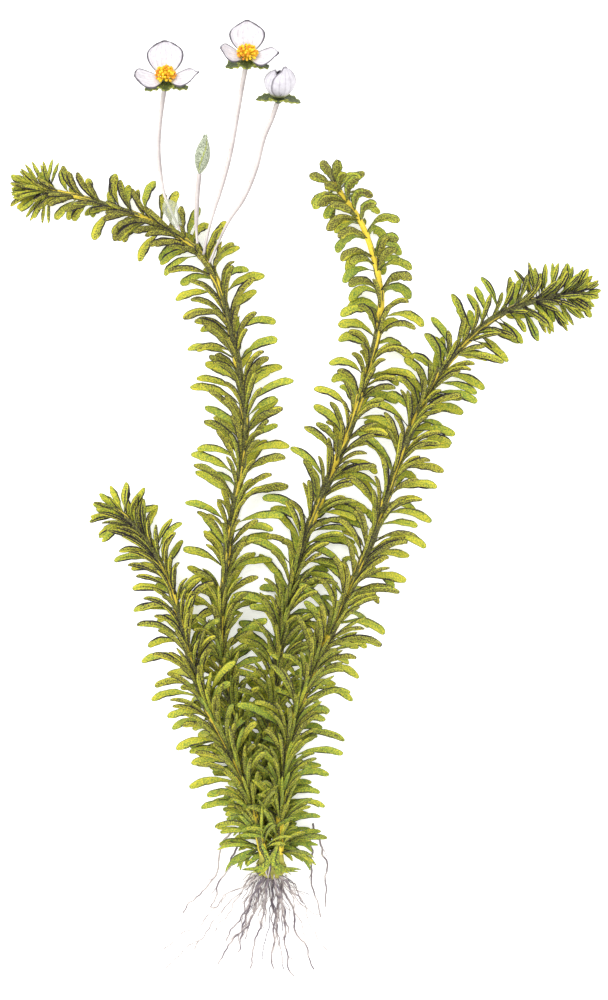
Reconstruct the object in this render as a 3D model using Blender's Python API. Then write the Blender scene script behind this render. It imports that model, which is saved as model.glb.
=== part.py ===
"""Brazilian waterweed, an uprooted plant laid on a flat surface.

Four leafy shoots fan out from one rooted crown. The arching shoot carries two open flowers, a half-open one and a
green bud on long pale stalks. Run it in Blender, from the text editor or with --background --python part.py.

Frame: metres, +Z up, +Y from the roots towards the flowers. The plant rests on z = 0, and the origin is the middle
of the outline that it covers there. Every size below is in millimetres, and MM turns it to metres.
"""

import math
import random

import bmesh
import bpy
import numpy as np
from mathutils import Matrix, Vector
from mathutils.bvhtree import BVHTree

MM = 0.001

# Driving sizes of the plant
STEM_RADIUS = 1.75  # to the corners of the four-sided stem
STEM_TIP_SHARE = 0.6  # of the radius left at a shoot's tip
LEAF_WIDTH = 3.3
LEAF_THICKNESS = 0.5
LEAF_BASE_THICKNESS = 0.7
LEAVES_IN_WHORL = 4
FIRST_WHORL = 2.4  # from the foot of a shoot
WHORL_TURN = math.radians(52)  # from one whorl to the next, so that leaves stand over the gaps below
ROOT_RADIUS = 0.45
STALK_RADIUS = 0.8
TOUCHING_GAP = 0.3  # between two pieces that grow together

# How leaves give way: to the surface, to the next shoot and to the flower stalks
LEAF_STEPS = 8
BEND_ROOM = 2.6  # a leaf starts to turn this far before what it meets
NEIGHBOUR_ROOM = 0.9  # left free on each side of the middle between two shoots
STALK_ROOM = 2.2  # from a stalk's or a root's axis to the middle of a leaf
SLOWEST_TURN = 0.35  # the pull towards the shoot's tip where a leaf is pressed flat
LYING_TWIST = 0.75  # how far a blade turned over to lie flat by its middle, as a share of the whole way

# Places along the middle of each stem, x y z, from its foot to its tip
ARCHING_ROUTE = [
    (-11.6, -110.6, 6.3),
    (-12.4, -103.0, 6.4),
    (-14.0, -93.0, 6.5),
    (-17.0, -81.0, 6.6),
    (-21.0, -68.5, 6.6),
    (-24.2, -55.0, 6.6),
    (-25.0, -37.0, 6.7),
    (-24.0, -24.5, 6.7),
    (-22.8, -12.0, 6.7),
    (-20.5, 0.5, 6.7),
    (-18.7, 13.0, 6.7),
    (-17.8, 25.0, 6.7),
    (-19.2, 36.5, 6.8),
    (-21.2, 48.5, 7.0),
    (-23.8, 59.5, 7.2),
    (-27.0, 69.0, 7.4),
    (-31.5, 76.3, 7.4),
    (-38.5, 82.3, 7.2),
    (-47.5, 87.3, 7.0),
    (-58.5, 91.2, 6.8),
    (-69.5, 94.6, 6.6),
    (-80.5, 96.6, 6.4),
    (-87.6, 97.0, 6.3),
]
MIDDLE_ROUTE = [
    (-7.6, -110.6, 6.3),
    (-8.2, -103.0, 6.4),
    (-9.2, -93.0, 6.5),
    (-9.4, -75.0, 6.6),
    (-8.4, -62.0, 6.6),
    (-7.4, -49.5, 6.7),
    (-5.6, -37.0, 6.7),
    (-2.5, -24.5, 6.7),
    (0.9, -12.0, 6.7),
    (5.2, -1.0, 6.7),
    (9.7, 9.5, 6.7),
    (14.0, 20.0, 6.7),
    (17.5, 30.0, 6.7),
    (20.8, 41.0, 6.7),
    (23.6, 52.0, 6.7),
    (24.7, 62.5, 6.8),
    (23.2, 72.5, 7.0),
    (20.6, 81.5, 7.2),
    (17.2, 88.8, 7.4),
    (13.4, 94.0, 7.4),
    (9.4, 99.4, 7.4),
]
RIGHT_ROUTE = [
    (-7.3, -110.6, 10.9),
    (-7.0, -103.0, 12.2),
    (-6.4, -92.0, 13.4),
    (-4.8, -79.5, 13.8),
    (-2.6, -70.0, 13.7),
    (0.4, -60.5, 13.4),
    (4.2, -51.0, 12.8),
    (8.7, -42.0, 12.0),
    (12.8, -32.5, 11.0),
    (17.2, -23.0, 9.8),
    (21.2, -13.7, 8.7),
    (24.5, -4.4, 7.8),
    (27.8, 5.0, 7.1),
    (31.2, 14.5, 6.8),
    (34.8, 24.0, 6.7),
    (39.4, 33.0, 6.7),
    (44.8, 42.0, 6.7),
    (52.0, 50.2, 6.7),
    (61.0, 57.5, 6.7),
    (71.2, 61.9, 6.6),
    (80.5, 63.8, 6.4),
    (88.4, 65.0, 6.3),
]
SHORT_ROUTE = [
    (-12.0, -110.6, 10.9),
    (-13.8, -102.0, 12.4),
    (-17.2, -91.0, 13.6),
    (-21.8, -80.0, 14.0),
    (-26.8, -70.3, 13.7),
    (-30.6, -62.0, 13.0),
    (-33.5, -53.0, 12.0),
    (-36.2, -44.5, 10.9),
    (-38.5, -35.5, 9.7),
    (-41.6, -25.8, 8.6),
    (-46.0, -17.0, 7.6),
    (-51.2, -9.5, 7.0),
    (-56.0, -4.6, 6.7),
    (-59.2, -2.2, 6.6),
]

# Along each shoot, as shares of its length: gap between whorls, leaf length, the angle to the stem at which a leaf
# leaves it, and the further angle that it turns through by its tip
GROWTH_PLACES = [0.0, 0.15, 0.35, 0.55, 0.75, 0.9, 1.0]
ARCHING_GROWTH = {
    "gap": [6.4, 7.6, 7.6, 7.2, 6.9, 6.0, 3.0],
    "length": [10.5, 14.0, 15.5, 15.5, 13.0, 10.5, 7.0],
    "angle": [68, 56, 46, 42, 50, 50, 28],
    "turn": [40, 40, 28, 30, 60, 44, 16],
    "width": [0.8, 1.0, 1.0, 1.0, 1.0, 0.95, 0.6],
}
MIDDLE_GROWTH = {
    "gap": [6.4, 7.6, 7.6, 7.0, 6.6, 6.2, 3.4],
    "length": [10.5, 14.0, 15.5, 14.5, 13.5, 11.5, 8.0],
    "angle": [68, 56, 46, 46, 56, 62, 45],
    "turn": [40, 40, 30, 40, 62, 62, 30],
    "width": [0.8, 1.0, 1.0, 1.0, 1.05, 1.15, 1.2],
}
RIGHT_GROWTH = {
    "gap": [6.4, 7.6, 7.5, 7.1, 6.8, 5.8, 3.0],
    "length": [10.5, 14.0, 15.5, 15.0, 14.0, 11.5, 8.0],
    "angle": [68, 58, 48, 46, 48, 48, 26],
    "turn": [40, 46, 46, 46, 46, 32, 14],
    "width": [0.8, 1.0, 1.0, 1.0, 0.95, 0.8, 0.6],
}
SHORT_GROWTH = {
    "gap": [6.4, 7.4, 7.2, 6.9, 6.3, 5.4, 3.4],
    "length": [10.5, 13.5, 14.5, 14.0, 13.0, 12.0, 9.0],
    "angle": [68, 58, 50, 46, 44, 40, 24],
    "turn": [40, 46, 44, 40, 36, 28, 14],
    "width": [0.8, 1.0, 1.0, 0.95, 0.9, 0.85, 0.8],
}
DROOP = 0.22  # how far leaf tips sagged towards the roots while the plant stood in water
UPPER_CLOSE = 0.45  # how much closer to the stem an uppermost leaf grows, as a share of its angle
UPPER_STRAIGHT = 0.4  # how much less it turns, as a share of its turn

# The crown: a knot of old stem between the shoots and the roots
CROWN_MIDDLE = (-9.7, -114.6, 8.4)
CROWN_RADII = (4.8, 3.6, 4.6)
CROWN_LUMP = 0.35

# Far ends of the roots on the surface, x y, from the left side round to the right
ROOT_ENDS = [
    (-44.5, -142.0),
    (-43.0, -147.5),
    (-24.0, -138.5),
    (-26.0, -146.0),
    (-20.6, -142.0),
    (-16.2, -147.3),
    (-8.8, -147.3),
    (-2.8, -149.8),
    (-3.8, -136.0),
    (4.0, -147.5),
    (12.8, -148.5),
    (0.8, -126.0),
]
ROOT_POINTS = 7
ROOT_WAVE = 0.9
# Long side roots that leave the lowest stems, as whole routes x y z
SIDE_ROOTS = [
    [(-21.0, -103.0, 1.6), (-25.6, -108.5, 0.9), (-26.2, -115.0, 0.5), (-29.5, -121.0, 0.5), (-38.0, -129.5, 0.5)],
    [(-20.4, -109.0, 1.6), (-22.4, -113.0, 0.7), (-24.4, -117.4, 0.5), (-26.2, -122.0, 0.5), (-28.8, -128.0, 0.5)],
    [(1.2, -103.5, 1.6), (3.2, -110.0, 0.8), (3.0, -117.6, 0.5), (3.8, -124.0, 0.5), (6.2, -131.0, 0.5)],
    [(3.4, -101.5, 1.6), (5.8, -108.0, 0.8), (7.2, -114.5, 0.5), (7.4, -121.5, 0.5), (7.8, -128.0, 0.5)],
]

# Flower stalks, x y z, from the arching shoot to the foot of each flower
STALK_ROUTES = {
    "flower_stalk_left": [
        (-38.8, 85.7, 11.1),
        (-41.0, 90.4, 10.2),
        (-42.9, 95.0, 7.4),
        (-44.4, 102.0, 2.6),
        (-45.2, 110.0, 0.9),
        (-44.8, 118.0, 0.9),
        (-43.8, 125.5, 1.6),
        (-42.9, 130.1, 4.0),
    ],
    "bud_stalk": [
        (-32.6, 79.6, 10.6),
        (-33.0, 84.5, 9.4),
        (-33.0, 91.0, 4.6),
        (-32.8, 97.0, 2.4),
        (-32.3, 101.8, 2.6),
    ],
    "flower_stalk_middle": [
        (-30.4, 78.0, 10.8),
        (-29.4, 83.0, 9.8),
        (-28.2, 88.0, 7.0),
        (-25.6, 97.0, 2.2),
        (-22.8, 108.0, 0.85),
        (-20.6, 120.0, 0.9),
        (-18.7, 131.0, 1.4),
        (-17.4, 136.9, 4.0),
    ],
    "flower_stalk_right": [
        (-28.2, 75.4, 10.8),
        (-25.6, 81.5, 9.6),
        (-23.0, 87.0, 6.6),
        (-18.4, 94.5, 2.4),
        (-14.6, 104.0, 0.85),
        (-11.8, 114.5, 0.9),
        (-9.5, 119.8, 1.5),
        (-7.8, 124.5, 2.9),
    ],
}
STALK_POINTS = 8
SPATHE_FOOT = (-38.6, 85.2, 11.2)
SPATHE_HEADING = (-0.40, 0.90, -0.16)
SPATHE_LENGTH = 7.6
SPATHE_RADII = (1.35, 2.3)
SPATHE_WALL = 0.3

# Flowers: foot, the way each faces and petal sizes. A flower lies on its back petal and looks up off the surface.
FLOWERS = {
    "flower_left": {
        "foot": (-42.6, 131.4, 5.6),
        "tilt": 47,
        "sway": 2,
        "petals": {"back": (0, 10.8, 11.6, 46), "left": (114, 8.8, 8.4, 20), "right": (-114, 9.8, 8.6, 20)},
    },
    "flower_middle": {
        "foot": (-17.2, 138.2, 5.6),
        "tilt": 47,
        "sway": 0,
        "petals": {"back": (0, 10.4, 11.4, 46), "left": (100, 7.8, 7.8, 30), "right": (-112, 9.2, 8.6, 20)},
    },
    "flower_right": {
        "foot": (-7.4, 126.2, 4.0),
        "tilt": 30,
        "sway": -4,
        "petals": {"back": (0, 7.8, 8.0, 72), "left": (116, 7.6, 7.0, 70), "right": (-120, 8.2, 7.2, 74)},
    },
}
PETAL_ROWS, PETAL_COLUMNS = 3, 3
PETAL_THICKNESS = 0.35
PETAL_ROOM = 1.6  # from the flower's axis to the foot of a petal
PETAL_LIFT = 0.8  # from the sepals to the foot of a petal
SEPAL_SIZE = (6.4, 3.8, 0.5)  # length, width, thickness
SEPALS = [(-90, -0.3), (-8, 0.5), (188, 0.5)]  # facing round the flower's axis in degrees, fall over length
STAMEN_WHORLS = [(5, 2.2, 58, 3.0), (3, 3.0, 30, 2.6)]  # count, height, angle to the axis, length
BUD_FOOT = (-32.2, 102.2, 2.7)
BUD_SIZE = (4.9, 12.4, 4.6)


def unit(vector):
    """The vector with a length of 1."""
    return vector / max(float(np.linalg.norm(vector)), 1e-9)


def material(name, colour, roughness, metallic=0.0):
    """A plain material with its own colour and roughness."""
    made = bpy.data.materials.new(name)
    made.use_nodes = True
    shader = made.node_tree.nodes["Principled BSDF"]
    shader.inputs["Base Color"].default_value = (*colour, 1.0)
    shader.inputs["Roughness"].default_value = roughness
    shader.inputs["Metallic"].default_value = metallic
    made.diffuse_color = (*colour, 1.0)
    return made


def smooth_route(route, count):
    """Points spread evenly along a smooth curve through the route, with the direction at each, in millimetres."""
    places = np.array(route, float)
    steps = np.linalg.norm(np.diff(places, axis=0), axis=1)
    at = np.concatenate([[0.0], np.cumsum(steps)])
    slopes = np.gradient(places, at, axis=0)
    fine = np.linspace(0.0, at[-1], 12 * len(places))
    cell = np.clip(np.searchsorted(at, fine, side="right") - 1, 0, len(at) - 2)
    width = (at[cell + 1] - at[cell])[:, None]
    share = (fine - at[cell])[:, None] / width
    curve = (
        (2 * share**3 - 3 * share**2 + 1) * places[cell]
        + (share**3 - 2 * share**2 + share) * width * slopes[cell]
        + (3 * share**2 - 2 * share**3) * places[cell + 1]
        + (share**3 - share**2) * width * slopes[cell + 1]
    )
    length = np.concatenate([[0.0], np.cumsum(np.linalg.norm(np.diff(curve, axis=0), axis=1))])
    wanted = np.linspace(0.0, length[-1], count)
    points = np.stack([np.interp(wanted, length, curve[:, k]) for k in range(3)], axis=1)
    directions = np.gradient(points, axis=0)
    return points, directions / np.linalg.norm(directions, axis=1)[:, None], length[-1]


def new_object(name, mesh, finish, parent=None):
    """An object in the scene with its one material."""
    made = bpy.data.objects.new(name, mesh)
    bpy.context.scene.collection.objects.link(made)
    mesh.materials.append(finish)
    if parent is not None:
        made.parent = parent
    return made


def mesh_of(name, bm):
    """A mesh datablock from bm, with its faces turned outwards."""
    bmesh.ops.recalc_face_normals(bm, faces=bm.faces)
    closed = all(edge.is_manifold for edge in bm.edges)
    if closed and bm.calc_volume(signed=True) < 0:
        bmesh.ops.reverse_faces(bm, faces=bm.faces)
    mesh = bpy.data.meshes.new(name)
    bm.to_mesh(mesh)
    bm.free()
    return mesh


def add_blade(bm, foot, sections):
    """Closes a blade onto the four corners of its foot.

    Each section is four corners in the foot's own order. The last one is an edge of two corners. The two wide faces
    of a twisted length are split the same way, so that they stay apart.
    """
    for corners in sections[:-1]:
        ring = [bm.verts.new(Vector(corner) * MM) for corner in corners]
        forward = (foot[0].co - ring[1].co).length + (foot[3].co - ring[2].co).length
        backward = (foot[1].co - ring[0].co).length + (foot[2].co - ring[3].co).length
        for one, other in ((0, 1), (3, 2)):
            near_ends = (foot[one], foot[other])
            if forward <= backward:
                split = [(near_ends[0], near_ends[1], ring[other]), (near_ends[0], ring[other], ring[one])]
            else:
                split = [(near_ends[0], near_ends[1], ring[one]), (near_ends[1], ring[other], ring[one])]
            for triangle in split:
                bm.faces.new(triangle if one == 0 else triangle[::-1])
        for one, other in ((1, 2), (3, 0)):
            bm.faces.new((foot[one], foot[other], ring[other]))
            bm.faces.new((foot[one], ring[other], ring[one]))
        foot = ring
    left, right = (bm.verts.new(Vector(corner) * MM) for corner in sections[-1])
    bm.faces.new((foot[0], foot[1], right))
    bm.faces.new((foot[0], right, left))
    bm.faces.new((foot[2], foot[3], left))
    bm.faces.new((foot[2], left, right))
    bm.faces.new((foot[1], foot[2], right))
    bm.faces.new((foot[3], foot[0], left))


def stalk_with_whorls(rings, whorls):
    """A closed stem through the rings, with a blade on each side face that a whorl names.

    rings is a list of lists of corners from the foot up, and whorls maps the number of a ring, the lower one of a
    band, to {side: sections}. Returns the bmesh and, for each of its faces, the (ring, side) of its blade or None.
    """
    bm = bmesh.new()
    owners = []
    skin = [[bm.verts.new(Vector(corner) * MM) for corner in ring] for ring in rings]
    sides = len(rings[0])
    for side in range(1, sides - 1):
        bm.faces.new((skin[0][0], skin[0][side + 1], skin[0][side]))
    for number in range(len(rings) - 1):
        below, above = skin[number], skin[number + 1]
        for side in range(sides):
            after = (side + 1) % sides
            foot = [below[side], below[after], above[after], above[side]]
            owners += [None] * (len(bm.faces) - len(owners))
            if side in whorls.get(number, {}):
                add_blade(bm, foot, whorls[number][side])
                owners += [(number, side)] * (len(bm.faces) - len(owners))
            elif (foot[0].co - foot[2].co).length < (foot[1].co - foot[3].co).length:
                bm.faces.new((foot[0], foot[1], foot[2]))
                bm.faces.new((foot[0], foot[2], foot[3]))
            else:
                bm.faces.new((foot[0], foot[1], foot[3]))
                bm.faces.new((foot[1], foot[2], foot[3]))
    middle = sum((vert.co for vert in skin[-1]), Vector()) / sides
    below = sum((vert.co for vert in skin[-2]), Vector()) / sides
    tip = bm.verts.new(middle + (middle - below) * 2)
    for side in range(sides):
        bm.faces.new((skin[-1][side], skin[-1][(side + 1) % sides], tip))
    return bm, owners + [None] * (len(bm.faces) - len(owners))


def crossed_faces(bm):
    """Numbers of the triangles that cut through another one or are folded back onto it."""
    bm.verts.index_update()
    points = [vert.co / MM for vert in bm.verts]
    corners = [[vert.index for vert in face.verts] for face in bm.faces]
    bm.faces.index_update()
    tree = BVHTree.FromPolygons(points, corners, all_triangles=True)
    found = {face for pair in tree.overlap(tree) for face in pair}
    bmesh.ops.recalc_face_normals(bm, faces=bm.faces)
    for edge in bm.edges:
        one, other = edge.link_faces
        if one.normal.dot(other.normal) < -0.985:
            found |= {one.index, other.index}
    return sorted(found)


class Shoot:
    """One leafy shoot: the line of its stem, its whorls and the leaves that find room around it."""

    def __init__(self, name, route, growth):
        self.name = name
        self.growth = growth
        count = int(sum(np.linalg.norm(np.diff(np.array(route), axis=0), axis=1)) / 1.0)
        self.points, self.directions, self.length = smooth_route(route, count)

    def at(self, distance):
        """Place, direction along the stem, side and top directions at a distance from the foot."""
        share = np.clip(distance / self.length, 0.0, 1.0) * (len(self.points) - 1)
        low = min(int(share), len(self.points) - 2)
        mix = share - low
        place = self.points[low] * (1 - mix) + self.points[low + 1] * mix
        along = unit(self.directions[low] * (1 - mix) + self.directions[low + 1] * mix)
        side = unit(np.cross(along, (0, 0, 1)))
        return place, along, side, np.cross(side, along)

    def grown(self, what, distance):
        """A growth value, such as leaf length, at a distance from the foot."""
        return float(np.interp(distance / self.length, GROWTH_PLACES, self.growth[what]))

    def radius(self, distance):
        """The stem's radius to its corners."""
        return STEM_RADIUS * (1 - (1 - STEM_TIP_SHARE) * (distance / self.length) ** 3)

    def whorl_places(self):
        """Distances of the whorls from the foot."""
        place, found = FIRST_WHORL, []
        while place < self.length - 1.0:
            found.append(place)
            place += self.grown("gap", place)
        return found

    def ring(self, distance, turn, share=1.0):
        """The stem's corners at a distance from the foot. Side k faces turn plus k quarter turns."""
        place, _, side, top = self.at(distance)
        radius = share * self.radius(distance)
        corners = []
        for k in range(LEAVES_IN_WHORL):
            angle = turn + (k - 0.5) * math.tau / LEAVES_IN_WHORL
            corners.append(place + radius * (math.cos(angle) * side + math.sin(angle) * top))
        return corners


def nearest(points, place):
    """The nearest of the points, and its distance."""
    gaps = np.linalg.norm(points - place, axis=1)
    index = int(gaps.argmin())
    return points[index], max(float(gaps[index]), 1e-6)


def walls_near(place, shoot, others, stalks):
    """Gap to, and direction away from, each thing that a leaf bends along."""
    own, own_gap = nearest(shoot.points, place)
    other, other_gap = nearest(others, place)
    stalk, stalk_gap = nearest(stalks, place)
    away = unit((place - other) / other_gap - (place - own) / own_gap)
    return [
        ((other_gap - own_gap) / 2 - NEIGHBOUR_ROOM, away),
        (stalk_gap - STALK_ROOM, unit(place - stalk)),
        (place[2] - LEAF_THICKNESS / 2, np.array([0.0, 0.0, 1.0])),
    ]


def grow_leaf(shoot, distance, facing, length, angle, turn, others, stalks):
    """The middle line of a leaf as (place, across, face) from its foot to its tip, bent by what it meets."""
    start, along, side, top = shoot.at(distance)
    outward = math.cos(facing) * side + math.sin(facing) * top
    across = np.cross(outward, along)
    flat_side = 1.0 if outward[2] < 0.1 else -1.0
    upper = max(float(outward[2]), 0.0)
    angle, turn = angle * (1 - UPPER_CLOSE * upper), turn * (1 - UPPER_STRAIGHT * upper)
    place = start + outward * shoot.radius(distance) * math.cos(math.pi / LEAVES_IN_WHORL)
    line = []
    for step in range(LEAF_STEPS + 1):
        share = step / LEAF_STEPS
        lean = angle + turn * share**1.2
        heading = math.cos(lean) * along + math.sin(lean) * outward + DROOP * share * np.array([0.0, -1.0, 0.0])
        heading = unit(heading)
        for gap, away in walls_near(place, shoot, others, stalks):
            push = min(max(1.0 - gap / BEND_ROOM, 0.0), 1.0)
            into = min(float(heading @ away), 0.0)
            heading = unit(heading - push * into * away - push * into * SLOWEST_TURN * along)
            across = unit(across - push * float(across @ away) * away)
        flat = flat_side * np.cross(heading, (0.0, 0.0, 1.0))
        twist = LYING_TWIST * min(share * 2.2, 1.0)
        across = unit(across * (1 - twist / 2) + flat * twist / 2)
        across = unit(across - float(across @ heading) * heading)
        line.append((place, across, np.cross(across, heading)))
        place = place + heading * length / LEAF_STEPS
        for gap, away in walls_near(place, shoot, others, stalks)[1:]:
            place = place - min(gap, 0.0) * away
    return line


def leaf_sections(line, width):
    """A leaf's cross-section at its middle, and the edge in which it ends, both on or above the surface."""
    middle, across, face = line[LEAF_STEPS // 2]
    half, deep = across * width / 2, face * LEAF_THICKNESS / 2
    blade = [middle - half - deep, middle + half - deep, middle + half + deep, middle - half + deep]
    for one, other in ((0, 3), (1, 2)):
        low, high = sorted((blade[one], blade[other]), key=lambda corner: corner[2])
        low[2] = max(low[2], 0.0)
        high[2] = max(high[2], low[2] + 0.8 * LEAF_THICKNESS * abs(float(face[2])))
    tip, tip_across, tip_face = line[LEAF_STEPS]
    under = tip_face if tip_face[2] < 0 else -tip_face
    edge = [tip + under * LEAF_THICKNESS / 2 + side * tip_across * width * 0.3 for side in (-1, 1)]
    for corner in edge:
        corner[2] = max(corner[2], 0.0)
    return [blade, edge]


def leaf_body(foot, sections):
    """A leaf as a tree that can be tested against other leaves."""
    points = [Vector(p) for p in [*foot, *sections[0], *sections[1]]]
    faces = [(5, 6, 9), (7, 4, 8)]
    for a, b, c, d in ((0, 1, 5, 4), (1, 2, 6, 5), (2, 3, 7, 6), (3, 0, 4, 7), (4, 5, 9, 8), (6, 7, 8, 9)):
        faces += [(a, b, c), (a, c, d), (a, b, d), (b, c, d)]
    return points, BVHTree.FromPolygons(points, faces)


def clear_foot(foot, sections):
    """The foot of a leaf, a little clear of the stem that it grows from."""
    middle = sum(foot) / 4
    return [middle + 0.9 * (corner - middle) + 0.06 * (end - corner) for corner, end in zip(foot, sections[0])]


def tree_of_rings(rings):
    """A stem's skin as a tree that leaves can be tested against."""
    sides = len(rings[0])
    points = [Vector(corner) for ring in rings for corner in ring]
    faces = []
    for low in range(len(rings) - 1):
        for k in range(sides):
            after = (k + 1) % sides
            a, b = low * sides + k, low * sides + after
            faces.append((a, b, b + sides, a + sides))
    return BVHTree.FromPolygons(points, faces)


class Crowd:
    """What already stands, so that a new leaf can be kept out of it."""

    def __init__(self):
        self.owners, self.bodies, self.low, self.high = [], [], [], []

    def add(self, shoot, whorl, points, whole, clear):
        """Puts a body among the others: whole for other shoots, and clear of the stem for its own."""
        corners = np.array(points)
        self.owners.append((shoot, whorl))
        self.bodies.append((whole, clear))
        self.low.append(corners.min(axis=0))
        self.high.append(corners.max(axis=0))

    def meets(self, shoot, whorl, points, whole, clear):
        """True if the body touches one that stands, other than a leaf of its own whorl."""
        corners = np.array(points)
        apart = (np.array(self.low) > corners.max(axis=0)) | (np.array(self.high) < corners.min(axis=0))
        for index in np.flatnonzero(~apart.any(axis=1)):
            if self.owners[index] == (shoot, whorl):
                continue
            own = self.owners[index][0] == shoot
            if self.bodies[index][own].overlap(clear if own else whole):
                return True
        return False


def keep_out(crowd, name, points, radius):
    """Puts a stalk or root among what leaves stay out of, as a tube of the radius along the points."""
    rings = []
    for place, heading in zip(points, np.gradient(points, axis=0)):
        side = unit(np.cross(heading, (0.0, 0.0, 1.0)) + (1e-6, 0.0, 0.0))
        top = unit(np.cross(side, heading))
        angles = [math.tau * k / 6 for k in range(6)]
        rings.append([place + radius * (math.cos(a) * side + math.sin(a) * top) for a in angles])
    for low in range(len(rings) - 1):
        tree = tree_of_rings(rings[low : low + 2])
        crowd.add(name, None, np.concatenate(rings[low : low + 2]), tree, tree)


# What is tried for a leaf that would grow into another: a turn round the stem in degrees, a share of its length, and
# how many degrees further it opens from the stem
SECOND_TRIES = [
    (0, 1.0, 0),
    (9, 1.0, 0),
    (-9, 1.0, 0),
    (0, 1.0, 10),
    (16, 0.9, 4),
    (-16, 0.9, 4),
    (0, 0.75, 0),
    (0, 0.85, 20),
    (14, 0.7, 8),
    (-14, 0.7, 8),
    (0, 0.55, 12),
]


def leaf_tries(shoot, distance, facing, length, angle, turn, width, others, stalks):
    """A leaf's sections as it would grow alone, and then as it may grow where it finds no room."""
    for aside, share, opened in SECOND_TRIES:
        line = grow_leaf(
            shoot,
            distance,
            facing + math.radians(aside),
            length * share,
            angle + math.radians(opened),
            turn,
            others,
            stalks,
        )
        yield leaf_sections(line, width)


def first_free(tries, foot, shoot, number, crowd):
    """The next of a leaf's tries that stays out of what stands, which is then added to the crowd, or None."""
    for sections in tries:
        points, whole = leaf_body(foot, sections)
        clear = leaf_body(clear_foot(foot, sections), sections)[1]
        if not crowd.meets(shoot.name, number, points, whole, clear):
            crowd.add(shoot.name, number, points, whole, clear)
            return sections
    return None


def grow_shoot(shoot, shoots, stalks, crowd):
    """The shoot's mesh in the making: its stem, with every leaf that finds room and crosses nothing."""
    others = np.concatenate([other.points for other in shoots if other is not shoot])
    half_foot = LEAF_BASE_THICKNESS / 2
    rings, whorls, spare = [shoot.ring(0.0, 0.0)], {}, {}
    for number, distance in enumerate(shoot.whorl_places()):
        turn = number * WHORL_TURN
        rings += [shoot.ring(distance - half_foot, turn), shoot.ring(distance + half_foot, turn)]
        band = {}
        for k in range(LEAVES_IN_WHORL):
            rng = random.Random(f"{shoot.name} {number} {k}")
            facing = turn + k * math.tau / LEAVES_IN_WHORL + math.radians(rng.uniform(-7, 7))
            length = shoot.grown("length", distance) * rng.uniform(0.86, 1.1)
            angle = math.radians(shoot.grown("angle", distance) + rng.uniform(-7, 7))
            bend = math.radians(shoot.grown("turn", distance) + rng.uniform(-14, 14))
            width = LEAF_WIDTH * shoot.grown("width", distance) * rng.uniform(0.9, 1.08)
            after = (k + 1) % LEAVES_IN_WHORL
            foot = [rings[-2][k], rings[-2][after], rings[-1][after], rings[-1][k]]
            tries = leaf_tries(shoot, distance, facing, length, angle, bend, width, others, stalks)
            spare[(len(rings) - 2, k)] = (tries, foot, number)
            sections = first_free(tries, foot, shoot, number, crowd)
            if sections is not None:
                band[k] = sections
        whorls[len(rings) - 2] = band
    while True:
        bm, owners = stalk_with_whorls(rings, whorls)
        crossed = [owners[face] for face in crossed_faces(bm) if owners[face] is not None]
        if not crossed:
            return bm
        bm.free()
        worst = max(sorted(set(crossed)), key=crossed.count)
        tries, foot, number = spare[worst]
        sections = first_free(tries, foot, shoot, number, crowd)
        if sections is None:
            del whorls[worst[0]][worst[1]]
        else:
            whorls[worst[0]][worst[1]] = sections


def make_shoots(finish, stalks, crowd):
    """The four shoots. Leaves of one give way to those of the others."""
    shoots = [
        Shoot("shoot_left_arching", ARCHING_ROUTE, ARCHING_GROWTH),
        Shoot("shoot_middle", MIDDLE_ROUTE, MIDDLE_GROWTH),
        Shoot("shoot_right", RIGHT_ROUTE, RIGHT_GROWTH),
        Shoot("shoot_left_short", SHORT_ROUTE, SHORT_GROWTH),
    ]
    for shoot in shoots:
        for low in np.arange(0.0, shoot.length - 4.0, 4.0):
            skin = [shoot.ring(low, 0.0), shoot.ring(low + 4.0, 0.0)]
            core = [shoot.ring(low, 0.0, 0.68), shoot.ring(low + 4.0, 0.0, 0.68)]
            crowd.add(shoot.name, None, np.concatenate(skin), tree_of_rings(skin), tree_of_rings(core))
    for shoot in shoots:
        new_object(shoot.name, mesh_of(shoot.name, grow_shoot(shoot, shoots, stalks, crowd)), finish)


def make_tube(name, points, radii, finish):
    """A stalk or root along the points, with a radius at each, kept on or above the surface."""
    curve = bpy.data.curves.new(name, "CURVE")
    curve.dimensions = "3D"
    curve.bevel_depth = MM
    curve.bevel_resolution = 0
    curve.use_fill_caps = True
    spline = curve.splines.new("POLY")
    spline.points.add(len(points) - 1)
    for point, place, radius in zip(spline.points, points, radii):
        point.co = (place[0] * MM, place[1] * MM, max(place[2], radius + 0.05) * MM, 1.0)
        point.radius = radius
    return new_object(name, curve, finish)


def root_route(number, end):
    """A root from the crown's lower end down to the surface and out to its end, with slow waves."""
    middle = np.array(CROWN_MIDDLE)
    target = np.array([*end, ROOT_RADIUS * 0.6])
    heading = unit((target - middle) * (1, 1, 0))
    level, reach = ((-0.5, 8.0), (0.1, 12.0), (0.6, 17.0))[number % 3]
    out = heading * math.cos(level) + (0, 0, math.sin(level))
    start = middle + out * (np.array(CROWN_RADII) + ROOT_RADIUS + TOUCHING_GAP)
    side = np.cross(heading, (0, 0, 1))
    span = float(np.linalg.norm((target - start)[:2]))
    phase = 0.35 * number
    line = []
    for share in np.linspace(0.0, 1.0, ROOT_POINTS):
        place = start * (1 - share) + target * share
        wave = ROOT_WAVE * math.sin(phase + share * math.tau * 1.1) * math.sin(math.pi * share)
        drop = min(share * span / reach, 1.0)
        place = place + side * wave
        place[2] = start[2] + (target[2] - start[2]) * (3 * drop**2 - 2 * drop**3)
        line.append(place)
    return line


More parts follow.
